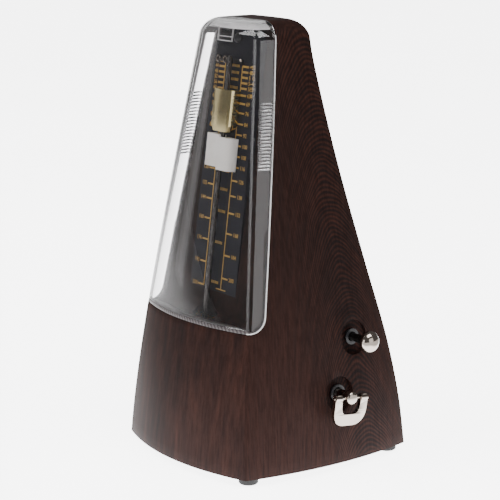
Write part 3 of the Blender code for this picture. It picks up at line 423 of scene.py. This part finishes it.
def plastic_material(name, color, roughness, grain_scale=900.0, bump=0.06, shine=0.5):
    """Moulded plastic with a fine spark-eroded texture."""
    shader = Shader(name).put(ior=1.47, specular_ior_level=shine)
    speckle = shader.noise(shader.coords, grain_scale, 2.0, 0.6)
    cloud = shader.noise(shader.coords, 35.0, 2.0)
    tones = [(place, tuple(c * share for c in color)) for place, share in ((0.3, 0.88), (0.7, 1.12))]
    shader.link(shader.ramp(cloud, tones), "Base Color")
    shader.link(shader.span(speckle, roughness, roughness + 0.08), "Roughness")
    shader.bump(speckle, bump, 0.0002)
    return shader.material


def foam_material():
    """White open-cell packing foam."""
    shader = Shader("packing_foam").put(roughness=0.95)
    cells = shader.cells(1500.0)
    cloud = shader.noise(shader.coords, 160.0, 3.0)
    tone = shader.ramp(cloud, [(0.3, (0.87, 0.835, 0.78)), (0.7, (0.94, 0.91, 0.86))])
    pitted = shader.multiply(0.25, tone, shader.ramp(cells, [(0.1, 0.72), (0.5, 1.0)]))
    shader.link(pitted, "Base Color")
    shader.bump(shader.math("ADD", cells, cloud), 0.5, 0.0003)
    return shader.material


def print_material():
    """Gold ink on the dial."""
    shader = Shader("gold_ink").put(metallic=0.25, roughness=0.5)
    wear = shader.noise(shader.coords, 700.0, 2.0)
    shader.link(shader.ramp(wear, [(0.3, (0.37, 0.21, 0.040)), (0.7, (0.50, 0.30, 0.065))]), "Base Color")
    return shader.material


# -------- shape helpers

def shade(mesh):
    """Smooth shading with creases at the sharp edges."""
    mesh.shade_smooth()
    mesh.set_sharp_from_angle(angle=SHARP_ANGLE)


def new_object(name, bm, finish=None, body=None, matrix=None):
    """An object from a bmesh, placed in the row frame and linked; with a body it rides on it."""
    if matrix is not None:
        bmesh.ops.transform(bm, matrix=matrix, verts=bm.verts)
    bmesh.ops.recalc_face_normals(bm, faces=bm.faces)
    mesh = bpy.data.meshes.new(name)
    bm.to_mesh(mesh)
    bm.free()
    shade(mesh)
    obj = bpy.data.objects.new(name, mesh)
    bpy.context.scene.collection.objects.link(obj)
    if finish is not None:
        mesh.materials.append(finish)
    if body:
        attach(obj, body)
    return obj


def bake(obj):
    """Turn an object's modifiers into its mesh."""
    graph = bpy.context.evaluated_depsgraph_get()
    mesh = bpy.data.meshes.new_from_object(obj.evaluated_get(graph))
    obj.modifiers.clear()
    old = obj.data
    obj.data = mesh
    bpy.data.meshes.remove(old)
    shade(mesh)


def carve(obj, steps, place=PLACE):
    """Apply Boolean steps of (operation, bmesh or finished tool), and remove the tools."""
    tools = []
    for operation, shape in steps:
        tool = new_object("tool", shape, matrix=place) if isinstance(shape, bmesh.types.BMesh) else shape
        modifier = obj.modifiers.new("cut", "BOOLEAN")
        modifier.operation = operation
        modifier.object = tool
        modifier.solver = "EXACT"
        tools.append(tool)
    bake(obj)
    for tool in tools:
        bpy.data.objects.remove(tool, do_unlink=True)


def bevel(obj, width, segments=2, angle=35):
    """Round the edges that are sharper than an angle in degrees."""
    modifier = obj.modifiers.new("edges", "BEVEL")
    modifier.width = width
    modifier.segments = segments
    modifier.limit_method = "ANGLE"
    modifier.angle_limit = math.radians(angle)
    modifier.use_clamp_overlap = True
    modifier.harden_normals = False
    bake(obj)


def loft_mesh(rings):
    """A closed skin over rings with equally many points, capped at both ends."""
    bm = bmesh.new()
    loops = [[bm.verts.new(point) for point in ring] for ring in rings]
    count = len(loops[0])
    for low, high in zip(loops, loops[1:]):
        for i in range(count):
            j = (i + 1) % count
            bm.faces.new((low[i], low[j], high[j], high[i]))
    bm.faces.new(loops[0])
    bm.faces.new(loops[-1])
    bmesh.ops.recalc_face_normals(bm, faces=bm.faces)
    return bm


def take(obj):
    """An object's evaluated mesh as a bmesh; the object is removed."""
    graph = bpy.context.evaluated_depsgraph_get()
    mesh = bpy.data.meshes.new_from_object(obj.evaluated_get(graph))
    bpy.data.objects.remove(obj, do_unlink=True)
    bm = bmesh.new()
    bm.from_mesh(mesh)
    bpy.data.meshes.remove(mesh)
    return bm


def plate_mesh(outline, thickness, holes=()):
    """A flat plate from filled 2D outlines, half its thickness each side of z = 0."""
    curve = bpy.data.curves.new("outline", "CURVE")
    curve.dimensions = "2D"
    curve.fill_mode = "BOTH"
    curve.extrude = thickness / 2
    for points in (outline, *holes):
        spline = curve.splines.new("POLY")
        spline.points.add(len(points) - 1)
        for point, (u, v) in zip(spline.points, points):
            point.co = (u, v, 0.0, 1.0)
        spline.use_cyclic_u = True
    guide = bpy.data.objects.new("outline", curve)
    bpy.context.scene.collection.objects.link(guide)
    bm = take(guide)
    bmesh.ops.remove_doubles(bm, verts=bm.verts, dist=0.000002)
    return bm


def lathe_mesh(profile, steps=64):
    """A profile of (radius, height) turned about local Z."""
    bm = bmesh.new()
    rows = []
    for radius, height in profile:
        count = steps if radius else 1
        rows.append([bm.verts.new((radius * math.cos(math.tau * i / steps),
                                   radius * math.sin(math.tau * i / steps), height)) for i in range(count)])
    for first, second in zip(rows, rows[1:]):
        for i in range(steps):
            j = (i + 1) % steps
            face = [first[i % len(first)], first[j % len(first)],
                    second[j % len(second)], second[i % len(second)]]
            face = list(dict.fromkeys(face))
            if len(face) > 2:
                bm.faces.new(face)
    return bm


def box_mesh(low, high):
    """A box between two opposite corners."""
    low, high = Vector(low), Vector(high)
    bm = bmesh.new()
    bmesh.ops.create_cube(bm, size=1.0)
    bmesh.ops.scale(bm, vec=high - low, verts=bm.verts)
    bmesh.ops.translate(bm, vec=(low + high) / 2, verts=bm.verts)
    return bm


def rod_mesh(radius, start, end, segments=48):
    """A capped cylinder between two points."""
    start, end = Vector(start), Vector(end)
    bm = bmesh.new()
    bmesh.ops.create_cone(bm, cap_ends=True, segments=segments, radius1=radius, radius2=radius,
                          depth=(end - start).length)
    turn = (end - start).to_track_quat("Z", "Y").to_matrix().to_4x4()
    bmesh.ops.transform(bm, matrix=Matrix.Translation((start + end) / 2) @ turn, verts=bm.verts)
    return bm


def circle(radius, count, x=0.0):
    """Points round (x, 0)."""
    return [(x + radius * math.cos(math.tau * i / count), radius * math.sin(math.tau * i / count))
            for i in range(count)]


def rounded(points, radii, steps=5):
    """A polygon with its corners rounded: one radius per corner."""
    made = []
    count = len(points)
    for i, radius in enumerate(radii):
        corner = Vector(points[i])
        before, after = Vector(points[i - 1]), Vector(points[(i + 1) % count])
        if radius <= 0:
            made.append(tuple(corner))
            continue
        start = corner + (before - corner).normalized() * radius
        end = corner + (after - corner).normalized() * radius
        for k in range(steps + 1):
            t = k / steps
            made.append(tuple(start * (1 - t) ** 2 + corner * 2 * t * (1 - t) + end * t * t))
    return made


def gather(parts):
    """One bmesh from several."""
    bm = bmesh.new()
    for part in parts:
        mesh = bpy.data.meshes.new("part")
        part.to_mesh(mesh)
        part.free()
        bm.from_mesh(mesh)
        bpy.data.meshes.remove(mesh)
    return bm


# -------- case envelope

def half_width(z):
    """Half the case's width between its corners, and the y of its front ones, at a height."""
    return BASE_HALF - SIDE_LEAN * z + FLARE * (1 - math.exp(-z / FLARE_HEIGHT))


def side_bulge(z):
    """SIDE_BULGE, fading towards the top."""
    return SIDE_BULGE * (1 - SIDE_BULGE_FADE * (z / HEIGHT) ** 5)


def rear_depth(z):
    """The rear wall's y at a height: a smooth curve through REAR_STATIONS."""
    stations = REAR_STATIONS
    z = min(max(z, stations[0][0]), stations[-1][0])
    k = 0
    while k < len(stations) - 2 and z > stations[k + 1][0]:
        k += 1

    def slope(i):
        low, high = max(i - 1, 0), min(i + 1, len(stations) - 1)
        return (stations[high][1] - stations[low][1]) / (stations[high][0] - stations[low][0])

    span = stations[k + 1][0] - stations[k][0]
    t = (z - stations[k][0]) / span
    return ((2 * t**3 - 3 * t**2 + 1) * stations[k][1] + (t**3 - 2 * t**2 + t) * span * slope(k)
            + (3 * t**2 - 2 * t**3) * stations[k + 1][1] + (t**3 - t**2) * span * slope(k + 1))


def corner_radius(radii, z):
    """The front edges' rounding: radii hold at the ledge and at the dome's start."""
    low, high = radii
    return low + (high - low) * min(max((z - LEDGE_Z) / (DOME_START - LEDGE_Z), 0.0), 1.0)


def wall_rise(bulge, z, t):
    """How far a crowned wall stands out at a share t of its run."""
    return bulge * 2 * half_width(z) * 4 * t * (1 - t)


def section(z, inset, front_radius, side_steps=18, corner_steps=6):
    """The outline at a height: four crowned sides with rounded corners."""
    wide = half_width(z) - inset
    rear = rear_depth(z) - inset
    corners = [Vector((-wide, -wide)), Vector((wide, -wide)), Vector((wide, rear)), Vector((-wide, rear))]
    front_radius = max(front_radius - inset * 0.6, 0.0005)
    radii = (front_radius, front_radius, CASE_RADIUS, CASE_RADIUS)
    bulges = (FRONT_BULGE, side_bulge(z), REAR_BULGE, side_bulge(z))
    sides = []
    for k in range(4):
        start, end = corners[k], corners[(k + 1) % 4]
        run = end - start
        outward = Vector((run.y, -run.x)).normalized()
        first = radii[k] / run.length
        last = 1 - radii[(k + 1) % 4] / run.length
        points = []
        for i in range(side_steps + 1):
            t = first + (last - first) * i / side_steps
            points.append(start + run * t + outward * wall_rise(bulges[k], z, t))
        sides.append(points)
    outline = []
    for k in range(4):
        this, following = sides[k], sides[(k + 1) % 4]
        start, end = this[-1], following[0]
        reach = (end - start).length * CORNER_REACH
        leaving = start + (this[-1] - this[-2]).normalized() * reach
        arriving = end - (following[1] - following[0]).normalized() * reach
        outline += this
        for i in range(1, corner_steps):
            t = i / corner_steps
            outline.append(start * (1 - t) ** 3 + leaving * 3 * t * (1 - t) ** 2
                           + arriving * 3 * t * t * (1 - t) + end * t ** 3)
    return [(p.x, p.y) for p in outline]


def envelope(inset=0.0, floor=FOOT_HEIGHT, radii=(CASE_RADIUS, CASE_RADIUS), layer=0.006, dome_steps=14):
    """The tapering body with its domed top, as a closed bmesh."""
    rings = []
    count = int((DOME_START - floor) / layer)
    for i in range(count + 1):
        z = floor + (DOME_START - floor) * i / count
        rings.append([(x, y, z) for x, y in section(z, inset, corner_radius(radii, z))])
    top = HEIGHT - inset
    base = section(DOME_START, inset, corner_radius(radii, DOME_START))
    middle = (min(p[1] for p in base) + max(p[1] for p in base)) / 2
    for i in range(1, dome_steps + 1):
        turn = math.pi / 2 * i / dome_steps
        shrink = 1 - math.cos(turn)
        z = DOME_START + (top - DOME_START) * math.sin(turn)
        lean = half_width(z) / half_width(DOME_START)
        wide, deep = 1 - DOME_INSET_X * shrink, 1 - DOME_INSET_Y * shrink
        rings.append([(x * lean * wide, middle + (y - middle) * deep, z) for x, y in base])
    return loft_mesh(rings)


def rim_y(z, grow=0.0):
    """The sloping rim plane's y at a height, with the plane moved backwards by grow."""
    return RIM_Y + math.tan(RIM_LEAN) * (z - RIM_Z) + grow / math.cos(RIM_LEAN)


def cover_region(grow=0.0, front=-0.09, top=0.24, width=0.16, steps=12):
    """Everything in front of the rim plane and above the ledge, as a prism across the case."""
    floor = LEDGE_Z - grow
    radius = RIM_RADIUS + grow
    centre = Vector((rim_y(floor + radius, grow) - radius, floor + radius))
    outline = [(front, floor), (centre.x, floor)]
    for i in range(1, steps + 1):
        angle = -math.pi / 2 + (math.pi / 2 - RIM_LEAN) * i / steps
        outline.append((centre.x + radius * math.cos(angle), centre.y + radius * math.sin(angle)))
    outline += [(rim_y(top, grow), top), (front, top)]
    bm = plate_mesh(outline, width)
    bmesh.ops.transform(bm, matrix=ACROSS, verts=bm.verts)
    return bm


def side_x(y, z):
    """The right-hand wall's outer surface at (y, z)."""
    front, rear = -half_width(z), rear_depth(z)
    return half_width(z) + wall_rise(side_bulge(z), z, (y - front) / (rear - front))


def side_normal(z, reach=0.005):
    """The right-hand wall's outward direction at a height, crowning left out."""
    lean = (half_width(z - reach) - half_width(z + reach)) / (2 * reach)
    return Vector((1.0, 0.0, lean)).normalized()


# -------- case and cover

def make_case(finish):
    """The case: a hollow shell with the cover's room cut out, two recesses and the rod's slot."""
    case = new_object("case_skin", envelope(), finish, matrix=PLACE)
    inside = new_object("case_room", envelope(WALL, floor=-0.002), matrix=PLACE)
    carve(inside, [("DIFFERENCE", cover_region(WALL))])
    steps = [("DIFFERENCE", cover_region()), ("DIFFERENCE", inside)]
    for axis, hole in ((KEY_AXIS, KEY_HOLE), (SELECTOR_AXIS, SELECTOR_HOLE)):
        outward = side_normal(axis[1])
        surface = Vector((side_x(*axis), *axis))
        cup = rod_mesh(RECESS_RADIUS + RECESS_WALL, surface - outward * RECESS_CUP, surface + outward * 0.004)
        cup = new_object("recess_cup", cup, matrix=PLACE)
        carve(cup, [("INTERSECT", envelope(0.00004))])
        recess = rod_mesh(RECESS_RADIUS, surface - outward * RECESS_DEPTH, surface + outward * 0.008, 72)
        bore = rod_mesh(hole, (0.040, *axis), (0.060, *axis))
        steps += [("UNION", cup), ("DIFFERENCE", recess), ("DIFFERENCE", bore)]
    slot_y = PIVOT.y + math.tan(ROD_LEAN) * (LEDGE_Z - PIVOT.z)
    slot = box_mesh((-SLOT_HALF, slot_y - 0.0022, 0.060), (SLOT_HALF, slot_y + 0.0020, 0.080))
    steps.append(("DIFFERENCE", slot))
    carve(case, steps)
    bevel(case, 0.00035, 2, 40)
    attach(case, "case")
    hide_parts("case_shell")


def flange_room(top):
    """The space of the cover's flange: its lowest part, ahead of the rim's round corner."""
    return box_mesh((-0.08, -0.09, 0.060), (0.08, RIM_Y - RIM_RADIUS, top))


def make_cover(clear, frost_and_highlight, hatched):
    """The clear cover: a thin skin, its hatched flange, the small parts moulded on it, and a whitish strip of
    painted highlight along its rims.
    """
    hollow_floor = LEDGE_Z - 0.010
    cover = new_object("cover_skin", envelope(radii=COVER_RADII), clear, matrix=PLACE)
    hollow = envelope(COVER_WALL, hollow_floor, COVER_RADII)
    carve(cover, [("INTERSECT", cover_region(-GAP)), ("DIFFERENCE", hollow),
                  ("DIFFERENCE", flange_room(FLANGE_TOP))])
    bevel(cover, 0.00030, 2, 50)
    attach(cover, "cover")
    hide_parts("front_cover")

    foot = new_object("cover_foot", envelope(radii=COVER_RADII), hatched, matrix=PLACE)
    throat = envelope(COVER_WALL + FLANGE_DEPTH, hollow_floor, COVER_RADII)
    carve(foot, [("INTERSECT", cover_region(-GAP)), ("INTERSECT", flange_room(FLANGE_TOP - 0.00004)),
                 ("DIFFERENCE", throat)])
    bevel(foot, 0.00025, 2, 50)
    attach(foot, "cover")
    make_grips(clear)
    make_latch(clear, frost_and_highlight)
    make_top_grain(frost_and_highlight)
    make_rim_edge(frost_and_highlight)


def make_grips(clear):
    """Finger grips: fine level ribs on both side walls."""
    count, first_z, pitch = 20, 0.1508, 0.00162
    proud, half_tall, root = 0.00075, 0.00048, -0.0003
    steps = 8
    ribs = []
    for side in (-1, 1):
        for i in range(count):
            z = first_z + i * pitch
            front, rear = rim_y(z) - 0.0077, rim_y(z) - 0.0005
            rings = []
            for k in range(steps + 1):
                y = front + (rear - front) * k / steps
                x = side_x(y, z) - 0.0001
                out = proud * math.sin(math.pi * (0.08 + 0.84 * k / steps)) ** 0.4
                profile = ((root, -half_tall), (out * 0.7, -0.00034), (out, 0.0), (out * 0.7, 0.00034),
                           (root, half_tall))
                rings.append([(side * (x + u), y, z + v) for u, v in profile])
            ribs.append(loft_mesh(rings))
    grips = new_object("cover_grips", gather(ribs), clear, "cover", PLACE)


def make_latch(clear, frost_and_highlight):
    """The clear tab inside the cover's top: a thin plate in a raised frame, with a cross bar; the frame is whitish
    as painted highlight on the tab's edges.
    """
    left, right, low, high = -0.0118, 0.0008, 0.1428, 0.1532
    bar, bar_back, bar_front = 0.0005, -0.0002, 0.0005
    plate = box_mesh((left, low, -0.0005), (right, high, -0.0001))
    tab = new_object("latch_tab", plate, clear, "cover", PENDULUM)
    parts = []
    for x in (left, right - bar):
        parts.append(box_mesh((x, low, bar_back), (x + bar, high, bar_front)))
    for y in (low, low + 0.0022, high - bar):
        parts.append(box_mesh((left, y, bar_back), (right, y + bar, bar_front)))
    # whitish frame bars: painted highlight along the clear tab's edges
    edge = new_object("latch_frame_highlight", gather(parts), frost_and_highlight, "cover", PENDULUM)


def make_top_grain(frost_and_highlight):
    """The grained patch under the cover's domed top."""
    outer, inner = COVER_WALL + 0.0001, COVER_WALL + 0.0004
    grain = new_object("top_grain", envelope(outer, 0.190, COVER_RADII), frost_and_highlight, matrix=PLACE)
    dome_only = box_mesh((-0.04, -0.06, 0.2154), (0.04, 0.02, 0.23))
    carve(grain, [("INTERSECT", cover_region(-0.0012)), ("INTERSECT", dome_only),
                  ("DIFFERENCE", envelope(inner, 0.185, COVER_RADII))])
    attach(grain, "cover")


def make_rim_edge(frost_and_highlight):
    """A whitish strip along both upright rims and round their lower corners: painted highlight where the cut rim
    catches the light.
    """
    width = 0.00045
    edge = new_object("painted_rim_highlight", envelope(-0.00008, radii=COVER_RADII), frost_and_highlight, matrix=PLACE)
    uprights = box_mesh((-0.08, -0.0440, 0.070), (0.08, 0.02, 0.2135))
    carve(edge, [("INTERSECT", cover_region(-GAP)), ("DIFFERENCE", cover_region(-GAP - width)),
                 ("DIFFERENCE", envelope(0.0005, radii=COVER_RADII)), ("INTERSECT", uprights)])
    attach(edge, "cover")


# -------- dial, catch and clip

def tempo_height(tempo):
    """Where a tempo's mark stands on the dial, along the rod from the pivot."""
    height = SLOW_HEIGHT - BEAT_PITCH * (tempo - SLOW)
    if tempo > SPREAD_FROM:
        height += SPREAD * math.sin(math.pi * (tempo - SPREAD_FROM) / (FASTEST - SPREAD_FROM))
    return height


def figure_mesh(tempo, align):
    """A tempo's figures, aligned to x = 0 and centred on y = 0."""
    text = bpy.data.curves.new("figure", "FONT")
    text.body = str(tempo)
    text.size = FIGURE_SIZE
    text.offset = 0.00003
    text.align_x = align
    text.align_y = "CENTER"
    text.extrude = INK_THICKNESS / 2
    text.resolution_u = 3
    guide = bpy.data.objects.new("figure", text)
    bpy.context.scene.collection.objects.link(guide)
    return take(guide)


def make_dial(ink):
    """The printed scale, as thin ink on the dial plate's own frame shape."""
    flat = PENDULUM @ Matrix.Translation((0, 0, DIAL_FACE + 0.00003))
    bottom_line = tempo_height(FASTEST)
    bars = []

    def bar(x0, x1, y0, y1):
        bars.append(box_mesh((min(x0, x1), y0, 0), (max(x0, x1), y1, INK_THICKNESS)))

    for spine, tip, tempos in DIAL_COLUMNS.values():
        bar(spine - SPINE_HALF, spine + SPINE_HALF, bottom_line, tempo_height(tempos[0]))
        for tempo in tempos:
            at = tempo_height(tempo)
            thick = TICK if tempo < FINE_FROM else FINE_TICK
            bar(spine, tip, at - thick / 2, at + thick / 2)
    bar(0.0028, 0.0110, bottom_line - 0.0003, bottom_line + 0.0003)
    for tempo in DIAL_BLOCKS:
        at = tempo_height(tempo)
        for i in range(6):
            x = BLOCK_START + i * BLOCK_PITCH
            bar(x, x + BLOCK_WIDTH, at - BLOCK_HALF, at + BLOCK_HALF)
    marks = new_object("dial_scale", gather(bars), ink, "case", flat)

    for name, (_, tip, tempos) in DIAL_COLUMNS.items():
        side, align = (1, "LEFT") if tip > 0 else (-1, "RIGHT")
        figures = []
        for tempo in tempos:
            figure = figure_mesh(tempo, align)
            at = Matrix.Translation((tip + side * FIGURE_GAP, tempo_height(tempo), INK_THICKNESS / 2))
            bmesh.ops.transform(figure, matrix=at, verts=figure.verts)
            figures.append(figure)
        figures = new_object(f"dial_figures_{name}", gather(figures), ink, "case", flat)


def make_catch(finish):
    """The dark bar across the dial's top, with a round boss at its right end."""
    place = PENDULUM @ Matrix.Translation((0, CATCH_HEIGHT, 0))
    half, radius, edge = 0.00965, 0.00215, 0.0003
    end = [(half - radius + (radius - edge) * math.cos(a), (radius - edge) * math.sin(a))
           for a in (-math.pi / 2 + math.pi * i / 16 for i in range(17))]
    outline = [(u - 0.0062, v) for u, v in end + [(-u, -v) for u, v in end]]
    bar = new_object("catch_bar", plate_mesh(outline, 0.0013), finish,
                     matrix=place @ Matrix.Translation((0, 0, -0.0021)))
    bevel(bar, 0.0003, 2)
    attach(bar, "case")
    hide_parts("cover_catch")
    boss = lathe_mesh([(0, 0.0008), (0.0011, 0.0007), (0.0019, 0.0002), (0.0024, -0.0006), (0.0025, -0.0014),
                       (0, -0.0014)], 40)
    boss = new_object("catch_boss", boss, finish, "case", place @ Matrix.Translation((0.0016, 0, -0.0014)))


def make_clip(finish, dark):
    """A wire clip behind the rod's tip: a dark arm, two bright curls at its left and a bright end."""
    place = PENDULUM @ Matrix.Translation((0, CLIP_HEIGHT, 0))
    arm = box_mesh((-0.0138, -0.0012, -0.0028), (0.0072, 0.0009, -0.0022))
    arm = new_object("clip_arm", arm, dark, "case", place)
    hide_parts("pendulum_clip")
    parts = []
    for x in (-0.0120, -0.0062):
        points = circle(0.0019, 25, x)[:-3]
        inner = [(x + (u - x) * 0.60, v * 0.60) for u, v in reversed(points)]
        curl = plate_mesh(points + inner, 0.0009)
        bmesh.ops.translate(curl, vec=(0, 0.0002, -0.0018), verts=curl.verts)
        parts.append(curl)
    ball = bmesh.new()
    bmesh.ops.create_uvsphere(ball, u_segments=20, v_segments=12, radius=0.0008)
    bmesh.ops.translate(ball, vec=(0.0068, 0.0006, -0.0016), verts=ball.verts)
    parts.append(ball)
    curls = new_object("clip_curls", gather(parts), finish, matrix=place)
    bevel(curls, 0.0002, 2)
    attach(curls, "case")


# -------- pendulum, weight and foam

def rod_channel(low, high, back, front):
    """The channel that keeps a piece clear of the rod."""
    half = ROD_WIDTH / 2 + GAP
    return box_mesh((-half, low, back), (half, high, front))


def make_rod(finish):
    """The flat strip, wider at its foot, with the arbor's hole in it."""
    half, foot_half, chamfer, curve = ROD_WIDTH / 2, ROD_FOOT_WIDTH / 2, 0.0009, 0.0004
    right = [(foot_half, ROD_BOTTOM), (foot_half, ROD_FOOT_TOP), (half, ROD_FOOT_TOP + 0.0012),
             (half, ROD_TOP - chamfer), (half - chamfer, ROD_TOP)]
    outline = rounded(right + [(-u, v) for u, v in reversed(right)], [0] * 3 + [curve] * 4 + [0] * 3)
    strip = new_object("rod_strip", plate_mesh(outline, ROD_THICKNESS, [circle(ROD_EYE, 32)]), finish,
                       matrix=PENDULUM)
    bevel(strip, 0.00022, 2)
    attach(strip, "pendulum")
    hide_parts("pendulum_rod")


def make_weight(finish, groove_shade):
    """The sliding weight: tapered at its foot, crowned in front, with dark lines on its sides as painted shade of
    fine ribbing there.
    """
    low, high, half, deep = WEIGHT_LOW, WEIGHT_HIGH, WEIGHT_WIDTH / 2, WEIGHT_DEPTH
    taper_in, taper_up, crown = 0.0027, 0.0040, 5.0
    shield = [(-half, high), (-half, low + taper_up), (-half + taper_in, low), (half - taper_in, low),
              (half, low + taper_up), (half, high)]
    weight = new_object("weight_block", plate_mesh(rounded(shield, [0.0004] * 6, 3), 0.012), finish,
                        matrix=PENDULUM)
    face = [(half - 0.0007) * (1 - i / 8) for i in range(17)]
    plan = [(half, -deep / 2)] + [(x, deep / 2 - crown * x * x) for x in face] + [(-half, -deep / 2)]
    plan = new_object("plan", plate_mesh(plan, 0.06),
                      matrix=PENDULUM @ Matrix.Translation((0, low, 0)) @ UPRIGHT)
    carve(weight, [("INTERSECT", plan),
                   ("DIFFERENCE", rod_channel(low - 0.002, high + 0.002, -0.0018, 0.0008))], PENDULUM)
    bevel(weight, 0.00045, 3)
    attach(weight, "weight")
    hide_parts("sliding_weight")
    # dark lines at the ribs' pitch on both sides: painted shade between fine side ribs
    marks = []
    for side in (-1, 1):
        for i in range(9):
            at = low + 0.0052 + i * 0.00158
            mark = box_mesh((-0.00020, -0.00028, -0.0013), (0.00010, 0.00028, 0.0013))
            lean = Matrix.Translation((side * (half - 0.0003), at, 0)) @ Matrix.Rotation(-side * 0.14, 4, "Y")
            bmesh.ops.transform(mark, matrix=lean, verts=mark.verts)
            marks.append(mark)
    marks = new_object("weight_shade_lines", gather(marks), groove_shade, matrix=PENDULUM)
    bevel(marks, 0.00008, 2)
    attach(marks, "weight")


def make_foam(finish):
    """A soft slit block: two halves pressed together, the right one lower, prouder and rounder."""
    for name, x0, x1, lift, front, radii in (
            ("foam_left_half", -0.0104, -0.0001, 0.0011, 0.0022, (0.0012, 0.0014, 0.0004, 0.0004)),
            ("foam_right_half", 0.0001, 0.0105, 0.0, 0.0030, (0.0014, 0.0040, 0.0010, 0.0004))):
        middle = FOAM_MIDDLE + lift
        plan = rounded([(x0, front), (x1, front), (x1, FOAM_BACK), (x0, FOAM_BACK)], radii, 8)
        foam = new_object(name, plate_mesh(plan, FOAM_HEIGHT), finish,
                          matrix=PENDULUM @ Matrix.Translation((0, middle, 0)) @ UPRIGHT)
        carve(foam, [("DIFFERENCE", rod_channel(middle - 0.02, middle + 0.02, -0.0010, 0.0010))], PENDULUM)
        bevel(foam, 0.0007, 3, 50)
        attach(foam, "foam")
        if x0 > 0:
            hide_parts("transit_foam")


# -------- key and selector

def make_key(finish):
    """The winding key: a round hub, the pin across it and the folding ring on the pin's ends."""
    hub = [(0, 0.0640), (0.0017, 0.0640), (0.0025, 0.0638), (0.0030, 0.0634), (0.00325, 0.0628),
           (0.00325, 0.0596), (0.0031, 0.0591), (0.00265, 0.0587), (0.00265, 0.0458), (0, 0.0458)]
    shaft = new_object("key_shaft", lathe_mesh(hub), finish, "winding",
                       PLACE @ Matrix.Translation((0, *KEY_AXIS)) @ ACROSS)
    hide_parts("key_hub")

    roll = PLACE @ Matrix.Translation((PIN_X, *KEY_AXIS)) @ Matrix.Rotation(RING_TURN, 4, "X")
    pin = lathe_mesh([(0, 0.0104), (0.0005, 0.0104), (0.00065, 0.01025), (0.00065, -0.01025),
                      (0.0005, -0.0104), (0, -0.0104)], 24)
    pin = new_object("key_cross_pin", pin, finish, "winding", roll @ UPRIGHT)
    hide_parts("key_pin")

    outer = [(-0.0101, 0.0017), (-0.0101, -0.0104), (-0.0073, -0.0136), (0.0049, -0.0136),
             (0.0093, -0.0095), (0.0101, -0.0038), (0.0101, 0.0017)]
    outer_radii = [0.0018, 0.003, 0.003, 0.0034, 0.003, 0.003, 0.0018]
    inner = [(0.0058, 0.0017), (0.0057, -0.0052), (0.0040, -0.0080), (-0.0043, -0.0080),
             (-0.0056, -0.0061), (-0.0058, 0.0017)]
    inner_radii = [0.0018, 0.002, 0.002, 0.0016, 0.002, 0.0018]
    outline = rounded(outer + inner, outer_radii + inner_radii, 6)
    ring = new_object("key_bow", plate_mesh(outline, 0.0021), finish, matrix=roll @ ACROSS)
    bevel(ring, 0.0005, 3)
    steps = [("UNION", rod_mesh(0.0017, (0, side * 0.0060, 0), (0, side * 0.0100, 0), 32))
             for side in (-1, 1)]
    steps.append(("DIFFERENCE", rod_mesh(0.00085, (0, -0.012, 0), (0, 0.012, 0), 24)))
    carve(ring, steps, roll)
    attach(ring, "key_ring")
    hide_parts("key_ring")


def make_selector(finish):
    """The beat selector's domed knob; its rod is the frame's own shape."""
    start, radius, steps = KNOB_START, KNOB_RADIUS, 14
    profile = [(0, start + KNOB_LENGTH)]
    for i in range(1, steps + 1):
        turn = math.pi / 2 * i / steps
        height = start + KNOB_EDGE + (KNOB_LENGTH - KNOB_EDGE) * math.cos(turn)
        profile.append((radius * math.sin(turn), height))
    profile += [(radius, start + 0.0008), (radius - 0.0002, start + 0.0002), (radius - 0.0006, start),
                (0, start)]
    knob = new_object("knob_dome", lathe_mesh(profile), finish, "selector",
                      PLACE @ Matrix.Translation((0, *SELECTOR_AXIS)) @ ACROSS)
    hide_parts("selector_knob")


# -------- the whole

def give(obj, finish):
    """Put one material on a CAD node's own object."""
    obj.data.materials.clear()
    obj.data.materials.append(finish)
    shade(obj.data)


def make_slots():
    """The materials of the record's slots, by slot name."""
    return {
        "wood_plastic": wood_material(),
        "clear_plastic": clear_material(),
        "black_plastic": plastic_material("black_moulding", (0.016, 0.016, 0.018), 0.26),
        "dial_black": plastic_material("dial_satin", (0.0115, 0.0115, 0.0165), 0.50, 1400.0, 0.05, 0.2),
        "rubber": plastic_material("rubber_matt", (0.012, 0.012, 0.012), 0.75, 700.0, 0.2),
        "steel": metal_material("rod_steel", (0.125, 0.116, 0.112), 0.22, 0.10, (600, 600, 20), 0.03),
        "nickel": metal_material("bright_nickel", (0.37, 0.32, 0.28), 0.06, 0.05),
        "gold_plate": metal_material("polished_gold", (0.74, 0.63, 0.33), 0.10, 0.06, (30, 30, 400)),
        "brass": metal_material("satin_brass", (0.78, 0.58, 0.27), 0.25, 0.10),
        "dark_steel": metal_material("blackened_steel", (0.055, 0.052, 0.050), 0.32, 0.10),
        "spring_steel": metal_material("blued_steel", (0.20, 0.22, 0.28), 0.25, 0.10),
        "cast_iron": metal_material("cast_iron", (0.14, 0.14, 0.14), 0.5, 0.2, (200, 200, 200), 0.2),
        "foam": foam_material(),
    }


def make_all():
    slots = make_slots()
    for entry in frame["record"]["subparts"]:
        give(frame["nodes"][entry["node"]], slots[entry["material_slot"]])
    make_studio()
    make_case(slots["wood_plastic"])
    make_cover(slots["clear_plastic"], frosted_material(), hatched_material())
    make_dial(print_material())
    make_catch(slots["black_plastic"])
    make_clip(slots["nickel"], slots["dark_steel"])
    make_rod(slots["steel"])
    # dark gold for the painted shade lines on the weight's sides
    make_weight(slots["gold_plate"], metal_material("groove_shade_gold", (0.16, 0.125, 0.045), 0.40, 0.10))
    make_foam(slots["foam"])
    make_key(slots["nickel"])
    make_selector(slots["nickel"])


make_camera()
make_all()
